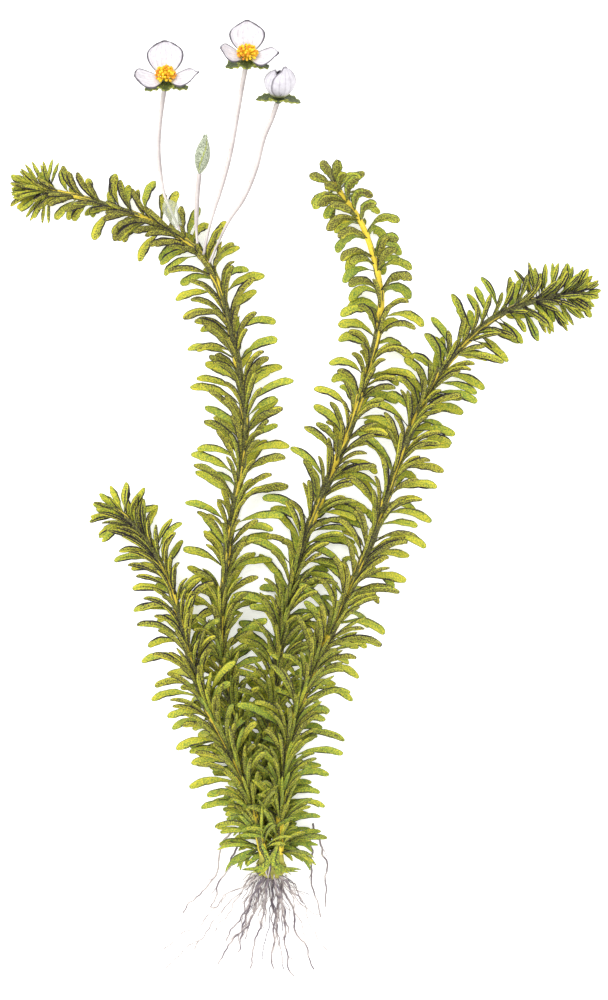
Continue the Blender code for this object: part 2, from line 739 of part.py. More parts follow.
def make_roots(finish, crowd):
    """The roots of the crown, then the long side roots, each thinner towards its tip. Returns their points."""
    routes = [root_route(number, end) for number, end in enumerate(ROOT_ENDS)]
    routes += [list(smooth_route(route, ROOT_POINTS)[0]) for route in SIDE_ROOTS]
    for number, route in enumerate(routes, 1):
        radii = np.linspace(ROOT_RADIUS, ROOT_RADIUS * 0.5, len(route))
        make_tube(f"root_{number:02d}", route, radii, finish)
        keep_out(crowd, f"root_{number:02d}", np.array(route), ROOT_RADIUS + TOUCHING_GAP / 2)
    return np.concatenate([smooth_route(route, 40)[0] for route in routes])


def make_crown(finish):
    """The knot that carries shoots and roots: a short lump with a bump where each of them was."""
    bm = bmesh.new()
    bmesh.ops.create_uvsphere(bm, u_segments=10, v_segments=6, radius=1.0)
    for vert in bm.verts:
        place = vert.co.copy()
        lump = 1 + CROWN_LUMP * 0.3 * math.sin(5 * math.atan2(place.x, place.z) + 3 * place.y)
        vert.co = Vector([place[k] * CROWN_RADII[k] * lump * MM for k in range(3)])
    made = new_object("crown", mesh_of("crown", bm), finish)
    made.location = Vector(CROWN_MIDDLE) * MM
    return made


def petal_mesh(name, length, width, cup):
    """A cupped petal that stands on +Z and leans towards +Y, as a sheet that Solidify thickens."""
    bm = bmesh.new()
    bmesh.ops.create_grid(bm, x_segments=PETAL_COLUMNS, y_segments=PETAL_ROWS, size=1.0)
    for vert in bm.verts:
        along = (vert.co.y + 1) / 2
        across = vert.co.x * width / 2 * math.sin(math.pi * (0.06 + 0.76 * along)) ** 0.8
        lean = math.radians(cup)
        out = PETAL_ROOM + length * (along * math.cos(lean) - 0.10 * math.sin(math.pi * along) * -math.sin(lean))
        up = PETAL_LIFT + length * along * math.sin(lean) - 0.10 * length * math.sin(math.pi * along) * math.cos(lean)
        fold = 0.16 * across**2 / width
        vert.co = Vector((across, out - fold * math.sin(lean), up + fold * math.cos(lean))) * MM
    return mesh_of(name, bm)


def make_calyx(name, finish, parent):
    """Three green sepals that bend back from one small cup under the petals."""
    length, width, thickness = SEPAL_SIZE
    cup = 1.5

    def ring(height):
        corners = []
        for facing, _ in SEPALS:
            for aside in (-32, 32):
                angle = math.radians(facing + aside)
                corners.append((cup * math.cos(angle), cup * math.sin(angle), height))
        return corners

    band = {}
    for number, (facing, fall) in enumerate(SEPALS):
        angle = math.radians(facing)
        out = np.array([math.cos(angle), math.sin(angle), 0.0])
        across = np.array([-out[1], out[0], 0.0])
        deep = np.array([0.0, 0.0, thickness / 2])
        middle = out * (cup + length * 0.42) + (0, 0, -0.4 - fall * length * 0.3)
        tip = out * (cup + length * 0.92) + (0, 0, -0.4 - fall * length) - deep
        half = across * width / 2
        band[2 * number] = [
            [middle - half - deep, middle + half - deep, middle + half + deep, middle - half + deep],
            [tip - half * 0.35, tip + half * 0.35],
        ]
    bm, _ = stalk_with_whorls([ring(-1.3), ring(-0.7), ring(-0.1)], {1: band})
    return new_object(name, mesh_of(name, bm), finish, parent)


def make_stamens(name, finish, parent):
    """Club-shaped stamens that grow from one short column in two whorls."""
    sides = STAMEN_WHORLS[0][0]

    def ring(height, radius, turn):
        angles = [math.tau * (k - 0.5) / sides + turn for k in range(sides)]
        return [(radius * math.cos(a), radius * math.sin(a), height) for a in angles]

    rings, whorls = [ring(1.5, 0.8, 0.0)], {}
    for number, (count, height, lean, length) in enumerate(STAMEN_WHORLS):
        turn = number * math.pi / sides
        rings += [ring(height - 0.35, 1.0 - 0.2 * number, turn), ring(height + 0.35, 1.0 - 0.2 * number, turn)]
        band = {}
        for k in range(count):
            facing, slope = math.tau * k / sides + turn, math.radians(lean)
            out = np.array([math.cos(facing), math.sin(facing), 0.0])
            across = np.array([-out[1], out[0], 0.0])
            heading = out * math.sin(slope) + np.array([0, 0, math.cos(slope)])
            over = np.cross(heading, across)
            foot = out * 0.7 + (0, 0, height)
            band[k] = []
            club = foot + heading * length * 0.75
            half, deep = across * 0.7, over * 0.7
            band[k].append([club - half - deep, club + half - deep, club + half + deep, club - half + deep])
            end = foot + heading * length
            band[k].append([end - half * 0.5, end + half * 0.5])
        whorls[len(rings) - 2] = band
    return new_object(name, mesh_of(name, stalk_with_whorls(rings, whorls)[0]), finish, parent)


def make_flower(name, facts, petal_finish, sepal_finish, stamen_finish):
    """One flower on its empty: the flower's axis is the empty's +Z, and its back petal lies towards +Y."""
    base = bpy.data.objects.new(f"{name}_axis", None)
    bpy.context.scene.collection.objects.link(base)
    base.location = Vector(facts["foot"]) * MM
    lift = Matrix.Rotation(-math.radians(90 - facts["tilt"]), 4, "X")
    base.rotation_euler = (Matrix.Rotation(math.radians(facts["sway"]), 4, "Z") @ lift).to_euler()
    for side, (facing, length, width, cup) in facts["petals"].items():
        label = f"{name}_petal_{side}"
        petal = new_object(label, petal_mesh(label, length, width, cup), petal_finish, base)
        petal.rotation_euler = (0, 0, math.radians(facing))
        skin = petal.modifiers.new("thickness", "SOLIDIFY")
        skin.thickness = PETAL_THICKNESS * MM
        skin.offset = 0.0
    make_calyx(f"{name}_sepals", sepal_finish, base)
    if name != "flower_right":
        make_stamens(f"{name}_stamens", stamen_finish, base)


def make_bud(finish):
    """The closed green bud: a pointed egg on its stalk, laid along the surface."""
    bm = bmesh.new()
    bmesh.ops.create_uvsphere(bm, u_segments=8, v_segments=6, radius=0.5)
    for vert in bm.verts:
        height = vert.co.z + 0.5
        slim = 1.0 - 0.25 * height**2
        vert.co = Vector((vert.co.x * BUD_SIZE[0] * slim, height * BUD_SIZE[1], vert.co.y * BUD_SIZE[2] * slim)) * MM
    made = new_object("bud", mesh_of("bud", bm), finish)
    made.location = Vector(BUD_FOOT) * MM
    made.rotation_euler = (0, 0, math.radians(-9))
    return made


def make_spathe(finish):
    """The thin split sheath out of which a flower stalk grows."""
    bm = bmesh.new()
    low, high = SPATHE_RADII
    bmesh.ops.create_cone(bm, cap_ends=False, segments=6, radius1=low, radius2=high, depth=SPATHE_LENGTH)
    for vert in bm.verts:
        top = vert.co.z > 0
        vert.co.z += SPATHE_LENGTH / 2 + (1.2 * math.cos(2 * math.atan2(vert.co.y, vert.co.x)) if top else 0.0)
        vert.co *= MM
    made = new_object("spathe", mesh_of("spathe", bm), finish)
    made.location = Vector(SPATHE_FOOT) * MM
    made.rotation_euler = Vector(SPATHE_HEADING).to_track_quat("Z", "Y").to_euler()
    skin = made.modifiers.new("wall", "SOLIDIFY")
    skin.thickness = SPATHE_WALL * MM
    skin.offset = 0.0
    return made


def main():
    """Clears the scene and builds the plant."""
    for old in list(bpy.data.objects):
        bpy.data.objects.remove(old)
    leaf_green = material("leaf_green", (0.30, 0.36, 0.03), 0.45)
    crown_tan = material("crown_tan", (0.42, 0.36, 0.26), 0.7)
    root_pale = material("root_pale", (0.50, 0.46, 0.43), 0.6)
    stalk_pale = material("stalk_pale", (0.66, 0.60, 0.56), 0.4)
    petal_white = material("petal_white", (0.88, 0.88, 0.87), 0.5)
    sepal_green = material("sepal_green", (0.10, 0.15, 0.02), 0.5)
    stamen_yellow = material("stamen_yellow", (0.95, 0.60, 0.02), 0.6)
    spathe_skin = material("spathe_skin", (0.72, 0.72, 0.60), 0.4)

    crowd = Crowd()
    make_crown(crown_tan)
    roots = make_roots(root_pale, crowd)
    stalks = []
    for name, route in STALK_ROUTES.items():
        points = smooth_route(route, STALK_POINTS)[0]
        make_tube(name, points, [STALK_RADIUS] * STALK_POINTS, stalk_pale)
        stalks.append(smooth_route(route, 60)[0])
        keep_out(crowd, name, points, STALK_RADIUS + TOUCHING_GAP / 2)
    make_spathe(spathe_skin)
    axis = unit(np.array(SPATHE_HEADING))
    for radius, low, high in ((SPATHE_RADII[0], 0.0, 0.5), (SPATHE_RADII[1], 0.5, 1.2)):
        line = [np.array(SPATHE_FOOT) + axis * SPATHE_LENGTH * share for share in (low, high)]
        keep_out(crowd, "spathe", np.array(line), radius + TOUCHING_GAP)
    for name, facts in FLOWERS.items():
        make_flower(name, facts, petal_white, sepal_green, stamen_yellow)
    make_bud(sepal_green)
    make_shoots(leaf_green, np.concatenate([roots, *stalks]), crowd)


main()
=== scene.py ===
"""Looks of a brazilian waterweed, an uprooted water plant laid flat on a pale table.

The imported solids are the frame. Every piece here is built where its solid is, from the same routes and growth
values as the part's source, and is then dressed. Sizes are in millimetres, and MM turns them to metres.
"""

from __future__ import annotations

import logging
import math
import random
from collections.abc import Iterator, Sequence
from dataclasses import dataclass, field
from enum import Enum
from functools import cache, cached_property

import bpy
import numpy as np
from mathutils import Matrix, Vector, noise

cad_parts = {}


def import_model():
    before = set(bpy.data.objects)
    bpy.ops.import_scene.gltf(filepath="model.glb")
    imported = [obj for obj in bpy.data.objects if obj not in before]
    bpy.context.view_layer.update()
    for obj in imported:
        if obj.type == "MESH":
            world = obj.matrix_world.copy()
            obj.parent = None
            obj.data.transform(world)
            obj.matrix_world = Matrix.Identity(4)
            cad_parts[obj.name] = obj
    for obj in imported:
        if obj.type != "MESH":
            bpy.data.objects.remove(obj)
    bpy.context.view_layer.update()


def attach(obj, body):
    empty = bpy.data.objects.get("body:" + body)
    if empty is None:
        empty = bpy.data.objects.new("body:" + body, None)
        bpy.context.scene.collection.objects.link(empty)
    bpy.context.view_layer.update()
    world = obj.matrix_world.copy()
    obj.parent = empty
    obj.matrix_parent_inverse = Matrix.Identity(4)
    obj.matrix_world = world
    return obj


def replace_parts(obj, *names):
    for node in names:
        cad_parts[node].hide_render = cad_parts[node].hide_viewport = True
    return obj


log = logging.getLogger("waterweed")

MM = 0.001
BODY = "root"
LEAF_STEPS = 8  # steps along the middle line of every leaf
GOLDEN_TURN = math.radians(137.5)  # from one young leaf to the next, round the tip
UP = np.array([0.0, 0.0, 1.0])
DOWN_THE_PICTURE = np.array([0.0, -1.0, 0.0])

Socket = bpy.types.NodeSocket
Triple = tuple[float, float, float]
Faces = list[tuple[int, ...]]


def linear(colour: str) -> tuple[float, float, float, float]:
    """Turns an sRGB hex colour to linear RGBA.

    Args:
        colour: such as "#B4B83C".

    Returns:
        Red, green, blue and an alpha of 1.
    """
    parts = [int(colour[k : k + 2], 16) / 255 for k in (1, 3, 5)]
    red, green, blue = (p / 12.92 if p <= 0.04045 else ((p + 0.055) / 1.055) ** 2.4 for p in parts)
    return red, green, blue, 1.0


def unit(vector: np.ndarray) -> np.ndarray:
    """The vector with a length of 1."""
    return vector / max(float(np.linalg.norm(vector)), 1e-9)


def smoothstep(low: float, high: float, value: np.ndarray | float) -> np.ndarray | float:
    """Rises smoothly from 0 at low to 1 at high."""
    share = np.clip((np.asarray(value, float) - low) / (high - low), 0.0, 1.0)
    return share * share * (3 - 2 * share)

def clamp(value: float, low: float = 0.0, high: float = 1.0) -> float:
    """The value, kept between low and high."""
    return min(max(value, low), high)


def level(turn: float) -> np.ndarray:
    """The level direction at an angle from +X."""
    return np.array([math.cos(turn), math.sin(turn), 0.0])


def lumps(size: float) -> float:
    """The scale of a pattern whose lumps are size millimetres wide."""
    return 1 / (size * MM)


@cache
def shell_faces(rings: int, sides: int, inside_out: bool = False) -> Faces:
    """The faces of a closed shell of rings, such as a tube.

    Args:
        rings: how many rings it has.
        sides: how many points a ring has.
        inside_out: for rings that turn the other way.

    Returns:
        The faces, as numbers into the rings' points.
    """
    faces: Faces = []
    for low in range(rings - 1):
        for k in range(sides):
            after = (k + 1) % sides
            a, b = low * sides, (low + 1) * sides
            quad = (a + k, a + after, b + after, b + k)
            faces.append((quad[1], quad[0], quad[3], quad[2]) if inside_out else quad)
    first, last = tuple(range(sides)), tuple((rings - 1) * sides + k for k in range(sides))
    faces += [first, last[::-1]] if inside_out else [first[::-1], last]
    return faces


def put_in_scene(name: str, data: bpy.types.ID) -> bpy.types.Object:
    """Adds an object to the scene.

    Args:
        name: of the object.
        data: its mesh, light or camera.

    Returns:
        The object.
    """
    made = bpy.data.objects.new(name, data)
    bpy.context.scene.collection.objects.link(made)
    return made


@dataclass
class Route:
    """A smooth line through a few places, in millimetres."""

    places: Sequence

    def spread(self, count: int) -> tuple[np.ndarray, np.ndarray, float]:
        """Points spread evenly along the line.

        Args:
            count: how many points.

        Returns:
            The points, the direction at each, and the line's length.
        """
        places = np.array(self.places, float)
        steps = np.linalg.norm(np.diff(places, axis=0), axis=1)
        at = np.concatenate([[0.0], np.cumsum(steps)])
        slopes = np.gradient(places, at, axis=0)
        fine = np.linspace(0.0, at[-1], 12 * len(places))
        cell = np.clip(np.searchsorted(at, fine, side="right") - 1, 0, len(at) - 2)
        width = (at[cell + 1] - at[cell])[:, None]
        share = (fine - at[cell])[:, None] / width
        curve = (
            (2 * share**3 - 3 * share**2 + 1) * places[cell]
            + (share**3 - 2 * share**2 + share) * width * slopes[cell]
            + (3 * share**2 - 2 * share**3) * places[cell + 1]
            + (share**3 - share**2) * width * slopes[cell + 1]
        )
        length = np.concatenate([[0.0], np.cumsum(np.linalg.norm(np.diff(curve, axis=0), axis=1))])
        wanted = np.linspace(0.0, length[-1], count)
        points = np.stack([np.interp(wanted, length, curve[:, k]) for k in range(3)], axis=1)
        directions = np.gradient(points, axis=0)
        return points, directions / np.linalg.norm(directions, axis=1)[:, None], float(length[-1])


class Draft:
    """A mesh in the making. Each point carries two triples of values that its finish reads."""

    def __init__(self) -> None:
        """Starts with nothing."""
        self.points: list[np.ndarray] = []
        self.faces: Faces = []
        self.spots: list[np.ndarray] = []
        self.tints: list[np.ndarray] = []
        self.count = 0

    def add(
        self,
        points: np.ndarray,
        faces: Faces,
        spots: np.ndarray | None = None,
        tints: np.ndarray | Triple = (0.0, 0.0, 0.0),
    ) -> None:
        """Adds a closed shell.

        Args:
            points: its places in millimetres.
            faces: its faces, as numbers into points.
            spots: where each point is on its piece, such as across, along and tone.
            tints: three more values, for each point or for all.
        """
        points = np.asarray(points, float)
        self.points.append(points)
        self.faces += [tuple(self.count + k for k in face) for face in faces]
        self.spots.append(np.zeros((len(points), 3)) if spots is None else np.asarray(spots, float))
        self.tints.append(np.broadcast_to(np.asarray(tints, float), (len(points), 3)))
        self.count += len(points)

    def tube(
        self,
        centres: np.ndarray,
        radii: np.ndarray,
        sides: int = 8,
        tints: Triple = (0.0, 0.0, 0.0),
        tone: np.ndarray | float = 0.0,
    ) -> None:
        """Adds a closed tube along a line.

        Args:
            centres: points along its middle.
            radii: its radius at each.
            sides: how many sides it has.
            tints: values for all its points.
            tone: the third spot value, for all or for each point of each ring.
        """
        count = len(centres)
        along = np.gradient(centres, axis=0)
        along /= np.linalg.norm(along, axis=1)[:, None]
        side = np.cross(along[0], (0.0, 0.0, 1.0) if abs(along[0][2]) < 0.9 else (1.0, 0.0, 0.0))
        angles = np.linspace(0.0, math.tau, sides, endpoint=False)
        rings = []
        for number in range(count):
            side = unit(side - float(side @ along[number]) * along[number])
            ring = np.outer(np.cos(angles), side) + np.outer(np.sin(angles), np.cross(side, along[number]))
            rings.append(centres[number] + radii[number] * ring)
        shares = np.repeat(np.linspace(0.0, 1.0, count), sides)
        tones = np.broadcast_to(tone, (count, sides)).ravel()
        spots = np.stack([np.tile(angles / math.tau, count), shares, tones], axis=1)
        self.add(np.concatenate(rings), shell_faces(count, sides), spots, tints)

    def sheet(
        self,
        grid: np.ndarray,
        thickness: float,
        tints: Triple = (0.0, 0.0, 0.0),
        tone: float = 0.0,
    ) -> None:
        """Adds a thin closed sheet over a grid of points.

        Args:
            grid: rows by columns of points on its middle.
            thickness: from face to face.
            tints: values for all its points.
            tone: the third spot value.
        """
        rows, columns = grid.shape[:2]
        down, across = np.gradient(grid, axis=0), np.gradient(grid, axis=1)
        normal = np.cross(across, down)
        normal /= np.maximum(np.linalg.norm(normal, axis=2), 1e-9)[..., None]
        v, u = np.meshgrid(np.linspace(0, 1, rows), np.linspace(-1, 1, columns), indexing="ij")
        spots = np.stack([u, v, np.full_like(u, tone)], axis=2).reshape(-1, 3)
        upper = (grid + normal * thickness / 2).reshape(-1, 3)
        lower = (grid - normal * thickness / 2).reshape(-1, 3)
        size = rows * columns
        faces: Faces = []
        for r in range(rows - 1):
            for c in range(columns - 1):
                a, b = r * columns + c, (r + 1) * columns + c
                faces.append((a, a + 1, b + 1, b))
                faces.append((size + a, size + b, size + b + 1, size + a + 1))
        rim = list(range(columns))
        rim += [r * columns + columns - 1 for r in range(1, rows)]
        rim += [(rows - 1) * columns + c for c in range(columns - 2, -1, -1)]
        rim += [r * columns for r in range(rows - 2, 0, -1)]
        for one, other in zip(rim, rim[1:] + rim[:1]):
            faces.append((other, one, size + one, size + other))
        self.add(np.concatenate([upper, lower]), faces, np.concatenate([spots, spots]), tints)

    def ball(
        self,
        middle: np.ndarray,
        axes: np.ndarray,
        rows: int = 8,
        columns: int = 10,
        rough: float = 0.0,
        tints: Triple = (0.0, 0.0, 0.0),
    ) -> None:
        """Adds a closed egg, with bumps if rough.

        Args:
            middle: its centre.
            axes: three half axes as rows, the third from pole to pole.
            rows: rings from pole to pole.
            columns: points in a ring.
            rough: the bumps' height as a share of the radius.
            tints: values for all its points.
        """
        points, spots = [np.array([0.0, 0.0, -1.0])], [(0.0, 0.0, 0.0)]
        for r in range(1, rows):
            polar = math.pi * r / rows
            for c in range(columns):
                turn = math.tau * (c + 0.5 * (r % 2)) / columns
                points.append(math.sin(polar) * level(turn) - math.cos(polar) * UP)
                spots.append((c / columns, r / rows, 0.0))
        points.append(UP)
        spots.append((0.0, 1.0, 0.0))
        bumpy = []
        for point in points:
            lump = 1.0 + rough * noise.noise(Vector(point * 2.6 + middle)) if rough else 1.0
            bumpy.append(middle + lump * (point @ axes))
        faces: Faces = []
        for c in range(columns):
            after = (c + 1) % columns
            faces.append((0, 1 + after, 1 + c))
            last = 1 + (rows - 2) * columns
            faces.append((len(points) - 1, last + c, last + after))
            for r in range(rows - 2):
                a, b = 1 + r * columns, 1 + (r + 1) * columns
                faces.append((a + c, a + after, b + after, b + c))
        self.add(np.array(bumpy), faces, np.array(spots), tints)

    def finished(self, name: str, finish: Finish) -> bpy.types.Object:
        """Makes the object.

        Args:
            name: the piece's name.
            finish: what it is dressed in.

        Returns:
            The object, smooth shaded, with its finish and riding on the plant.
        """
        mesh = bpy.data.meshes.new(name)
        points = np.concatenate(self.points) * MM
        mesh.from_pydata(points.tolist(), [], self.faces)
        for label, values in (("spot", self.spots), ("tint", self.tints)):
            layer = mesh.attributes.new(label, "FLOAT_VECTOR", "POINT")
            layer.data.foreach_set("vector", np.concatenate(values).astype(np.float32).ravel())
        mesh.polygons.foreach_set("use_smooth", np.ones(len(mesh.polygons), bool))
        mesh.materials.append(finish.material())
        mesh.update()
        made = put_in_scene(name, mesh)
        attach(made, BODY)
        log.info("%s: %d points, %d faces", name, len(points), len(self.faces))
        return made


class Kind(Enum):
    """The nodes that finishes use: Blender's type, settings, the inputs that values go to, and the output."""

    GRAIN = ("ShaderNodeTexNoise", {"Detail": 2.0, "Roughness": 0.6}, ("Vector", "Scale", "Detail"), "Fac")
    RISE = ("ShaderNodeMapRange", {"interpolation_type": "SMOOTHSTEP"}, (0, 1, 2), "Result")
    MIX = ("ShaderNodeMix", {"data_type": "RGBA"}, (0, 6, 7), 2)
    RAMP = ("ShaderNodeValToRGB", {}, (0,), "Color")
    TIMES_PLUS = ("ShaderNodeMath", {"operation": "MULTIPLY_ADD"}, (0, 1, 2), 0)
    TIMES = ("ShaderNodeMath", {"operation": "MULTIPLY"}, (0, 1), 0)
    SIZE = ("ShaderNodeMath", {"operation": "ABSOLUTE"}, (0,), 0)
    LARGER = ("ShaderNodeMath", {"operation": "MAXIMUM"}, (0, 1), 0)
    POWER = ("ShaderNodeMath", {"operation": "POWER"}, (0, 1), 0)
    SINE = ("ShaderNodeMath", {"operation": "SINE"}, (0,), 0)
    COSINE = ("ShaderNodeMath", {"operation": "COSINE"}, (0,), 0)
    CARRIED = ("ShaderNodeAttribute", {}, (), "Vector")
    SPLIT = ("ShaderNodeSeparateXYZ", {}, (0,), 0)
    PLACE = ("ShaderNodeTexCoord", {}, (), "Object")
    BUMP = ("ShaderNodeBump", {"Strength": 0.5, "Distance": 0.15 * MM}, ("Height",), "Normal")


class Surface:
    """A finish's nodes in the making, and the values that the points of its piece carry."""

    def __init__(self, tree: bpy.types.NodeTree) -> None:
        """Adds the nodes that read those values.

        Args:
            tree: the material's node tree.
        """
        self.tree = tree
        self.spot, self.tint = (
            list(self.add(Kind.SPLIT, self.add(Kind.CARRIED, attribute_name=name)).node.outputs)
            for name in ("spot", "tint")
        )
        self.place = self.add(Kind.PLACE)

    def add(
        self, kind: Kind, *values: Socket | float | str, stops: tuple = (), **settings: str | bool
    ) -> Socket:
        """Adds a node with its settings and links.

        Args:
            kind: which node.
            values: for its inputs in their order, each a socket to link, a number or a hex colour.
            stops: places and hex colours of a colour ramp.
            settings: further settings by name.

        Returns:
            Its output.
        """
        blender_type, fixed, inputs, output = kind.value
        node = self.tree.nodes.new(blender_type)
        for name, value in {**fixed, **settings}.items():
            if name in node.inputs:
                node.inputs[name].default_value = value
            else:
                setattr(node, name, value)
        for key, value in zip(inputs, values):
            if isinstance(value, Socket):
                self.tree.links.new(value, node.inputs[key])
            else:
                node.inputs[key].default_value = linear(value) if isinstance(value, str) else value
        for number, (place, colour) in enumerate(stops):
            ramp = node.color_ramp.elements
            stop = ramp[number] if number < 2 else ramp.new(place)
            stop.position, stop.color = place, linear(colour)
        return node.outputs[output]

    def total(self, start: float, *terms: tuple[Socket, float]) -> Socket:
        """Adds up terms, and keeps the sum between 0 and 1.

        Args:
            start: what the sum starts from.
            terms: sockets, each with the factor that it is taken by.

        Returns:
            The sum.
        """
        found = start
        for number, (socket, factor) in enumerate(terms, 1):
            found = self.add(Kind.TIMES_PLUS, socket, factor, found, use_clamp=number == len(terms))
        return found


@dataclass(frozen=True)
class Finish:
    """What a piece is made of and how its surface came about."""

    name: str
    slot: str
    roughness: float = 0.5
    specular: float = 0.5
    fine: float = 1.0  # mm, the width of its smallest marks
    patch: float = 1.0  # mm, the width of its patches

    def colour(self, on: Surface) -> tuple[Socket, Socket]:
        """Adds the nodes of this finish.

        Args:
            on: the surface that they colour.

        Returns:
            The sockets that give the colour, and the height for the bump.
        """
        raise NotImplementedError

    def shade(self, shader: bpy.types.Node) -> None:
        """Sets what else is the same all over the surface: nothing for most finishes.

        Args:
            shader: the material's own shader.
        """

    def material(self) -> bpy.types.Material:
        """Makes the material, or finds it where it is made already.

        Returns:
            The material.
        """
        found = bpy.data.materials.get(self.name)
        if found:
            return found
        made = bpy.data.materials.new(self.name)
        made.use_nodes = True
        shader = made.node_tree.nodes["Principled BSDF"]
        on = Surface(made.node_tree)
        colour, height = self.colour(on)
        on.tree.links.new(colour, shader.inputs["Base Color"])
        on.tree.links.new(on.add(Kind.BUMP, height), shader.inputs["Normal"])
        shader.inputs["Roughness"].default_value = self.roughness
        shader.inputs["Specular IOR Level"].default_value = self.specular
        self.shade(shader)
        return made


@dataclass(frozen=True)
class LeafBlade(Finish):
    """Fresh waterweed leaf, two cells thick.

    Its cells are green and gold, it is darkly stippled where it faces up, and one of its rims is painted pale
    as the leaf's lit side, with the stipple on the other, shaded side.
    """

    name: str = "waterweed_leaf_fresh"
    slot: str = "leaf_green"
    roughness: float = 0.55
    specular: float = 0.22
    fine: float = 0.34  # the grain of the green bodies in the cells, drawn coarse enough to show
    speckle: float = 0.38  # mm, single cells that are fuller or emptier than the rest, drawn as coarse
    patch: float = 1.5  # fuller and thinner cells
    cells: tuple = ((0.0, "#D2C43B"), (0.28, "#B7BA39"), (0.6, "#A0A736"), (1.0, "#6C8838"))
    under: str = "#A2A043"
    dark: str = "#58522D"
    green_line: str = "#67772F"
    dark_line: str = "#3C3824"
    ink: str = "#262026"

    def colour(self, on: Surface) -> tuple[Socket, Socket]:
        """Lays the stipple, the painted light along one rim, the rim lines and the rib over the cells.

        Args:
            on: the surface that it colours.

        Returns:
            The sockets of the colour and the bump's height.
        """
        side, along, dim = on.spot
        inky, full, seed = on.tint
        across = on.add(Kind.SIZE, side)
        fine = on.add(Kind.RISE, on.add(Kind.GRAIN, on.place, lumps(self.fine), 1.0), 0.4, 0.6)
        speck = on.add(Kind.RISE, on.add(Kind.GRAIN, on.place, lumps(self.speckle), 1.0), 0.42, 0.58)
        patch = on.add(Kind.RISE, on.add(Kind.GRAIN, on.place, lumps(self.patch)), 0.36, 0.64)
        # painted light: one rim of each leaf is painted pale as its lit side, and the stipple is kept to the
        # other, shaded side
        painted_lit_rim = on.add(Kind.RISE, on.add(Kind.TIMES_PLUS, seed, 0.5, side), -0.1, -0.4)
        spoon_rim = on.add(Kind.RISE, on.add(Kind.TIMES_PLUS, inky, -1.4, across), 1.14, 1.3)
        # clear holds the painted lit rim, or the pale rim all round a spoon leaf
        clear = on.add(Kind.LARGER, painted_lit_rim, spoon_rim)
        thin = on.add(Kind.RISE, side, 0.58, 0.76)
        tip = on.add(Kind.RISE, along, 0.7, 1.0)
        foot = on.add(Kind.RISE, along, 0.5, 0.0)
        edge = on.add(Kind.RISE, across, 0.75, 0.88)
        end = on.add(Kind.RISE, along, 0.955, 0.985)
        front = on.add(Kind.RISE, dim, 0.25, 0.55)
        terms = ((speck, 0.7), (fine, 0.36), (patch, 0.14), (full, 0.75), (foot, 0.15))
        body = on.total(-0.2, *terms, (clear, -0.2), (tip, -0.12))
        body = on.add(Kind.RAMP, body, stops=self.cells)
        dimmed = on.total(-0.05, (dim, 0.95), (clear, -0.6), (thin, -0.2))
        body = on.add(Kind.MIX, dimmed, body, self.under)
        terms = ((dim, 1.0), (foot, 0.2), (clear, -0.6), (thin, -0.35), (patch, 0.15), (fine, 0.9))
        dots = on.add(Kind.RISE, on.total(-0.84, *terms), 0.18, 0.42)
        leaf = on.add(Kind.MIX, dots, body, self.dark)
        drawn = on.total(-0.22, (edge, 1.0), (end, 1.0), (speck, 0.35), (clear, -0.1))
        leaf = on.add(Kind.MIX, drawn, leaf, on.add(Kind.MIX, front, self.green_line, self.dark_line))
        rib = on.add(Kind.RISE, on.add(Kind.TIMES_PLUS, inky, -0.1, across), 0.18, 0.06)
        inner = on.add(Kind.RISE, side, 0.5, 0.64)
        terms = ((rib, 0.7), (inner, 1.1), (tip, -0.4), (foot, 0.3), (fine, 0.2), (inky, 1.0))
        lines = on.add(Kind.RISE, on.total(-0.86, *terms), 0.15, 0.5)
        return on.add(Kind.MIX, lines, leaf, self.ink), on.total(0.3, (fine, 0.4), (patch, 0.3), (rib, -0.3))


@dataclass(frozen=True)
class StemSkin(Finish):
    """Soft round stem: clear yellow where it is bare, dark and stippled where leaf feet run down it."""

    name: str = "waterweed_stem_fresh"
    slot: str = "leaf_green"
    roughness: float = 0.45
    specular: float = 0.3
    fine: float = 0.34
    patch: float = 2.4

    def colour(self, on: Surface) -> tuple[Socket, Socket]:
        """Mixes bare yellow with stippled green where leaf feet run down.

        Args:
            on: the surface that it colours.

        Returns:
            The sockets of the colour and the bump's height.
        """
        covered = on.spot[2]
        fine = on.add(Kind.RISE, on.add(Kind.GRAIN, on.place, lumps(self.fine), 1.0), 0.34, 0.66)
        patch = on.add(Kind.GRAIN, on.place, lumps(self.patch))
        bare = on.add(Kind.MIX, patch, "#F2D640", "#DCC23A")
        leafy = on.add(Kind.MIX, patch, "#8A8A3A", "#6C6E36")
        skin = on.add(Kind.MIX, on.add(Kind.RISE, covered, 0.2, 0.5), bare, leafy)
        dots = on.add(Kind.RISE, on.total(-0.7, (fine, 1.0), (covered, 0.7)), 0.2, 0.6)
        return on.add(Kind.MIX, dots, skin, "#3F3A26"), fine


@dataclass(frozen=True)
class RootSkin(Finish):
    """Fine root, grey-brown with darker stretches, violet where it leaves the crown and pale at its tip."""

    name: str = "waterweed_root_washed"
    slot: str = "root_pale"
    roughness: float = 0.6
    fine: float = 1.4
    patch: float = 4.0
    stops: tuple = ((0.0, "#4E4450"), (0.25, "#776C70"), (0.55, "#A69B97"), (1.0, "#D6CFCA"))

    def colour(self, on: Surface) -> tuple[Socket, Socket]:
        """Runs from violet to pale, in stretches.

        Args:
            on: the surface that it colours.

        Returns:
            The sockets of the colour and the bump's height.
        """
        grain = on.add(Kind.GRAIN, on.place, lumps(self.fine))
        stretch = on.add(Kind.RISE, on.add(Kind.GRAIN, on.place, lumps(self.patch), 1.0), 0.38, 0.62)
        shade = on.total(-0.2, (on.spot[1], 0.14), (on.tint[0], 0.8), (grain, 0.4), (stretch, 0.4))
        return on.add(Kind.RAMP, shade, stops=self.stops), grain


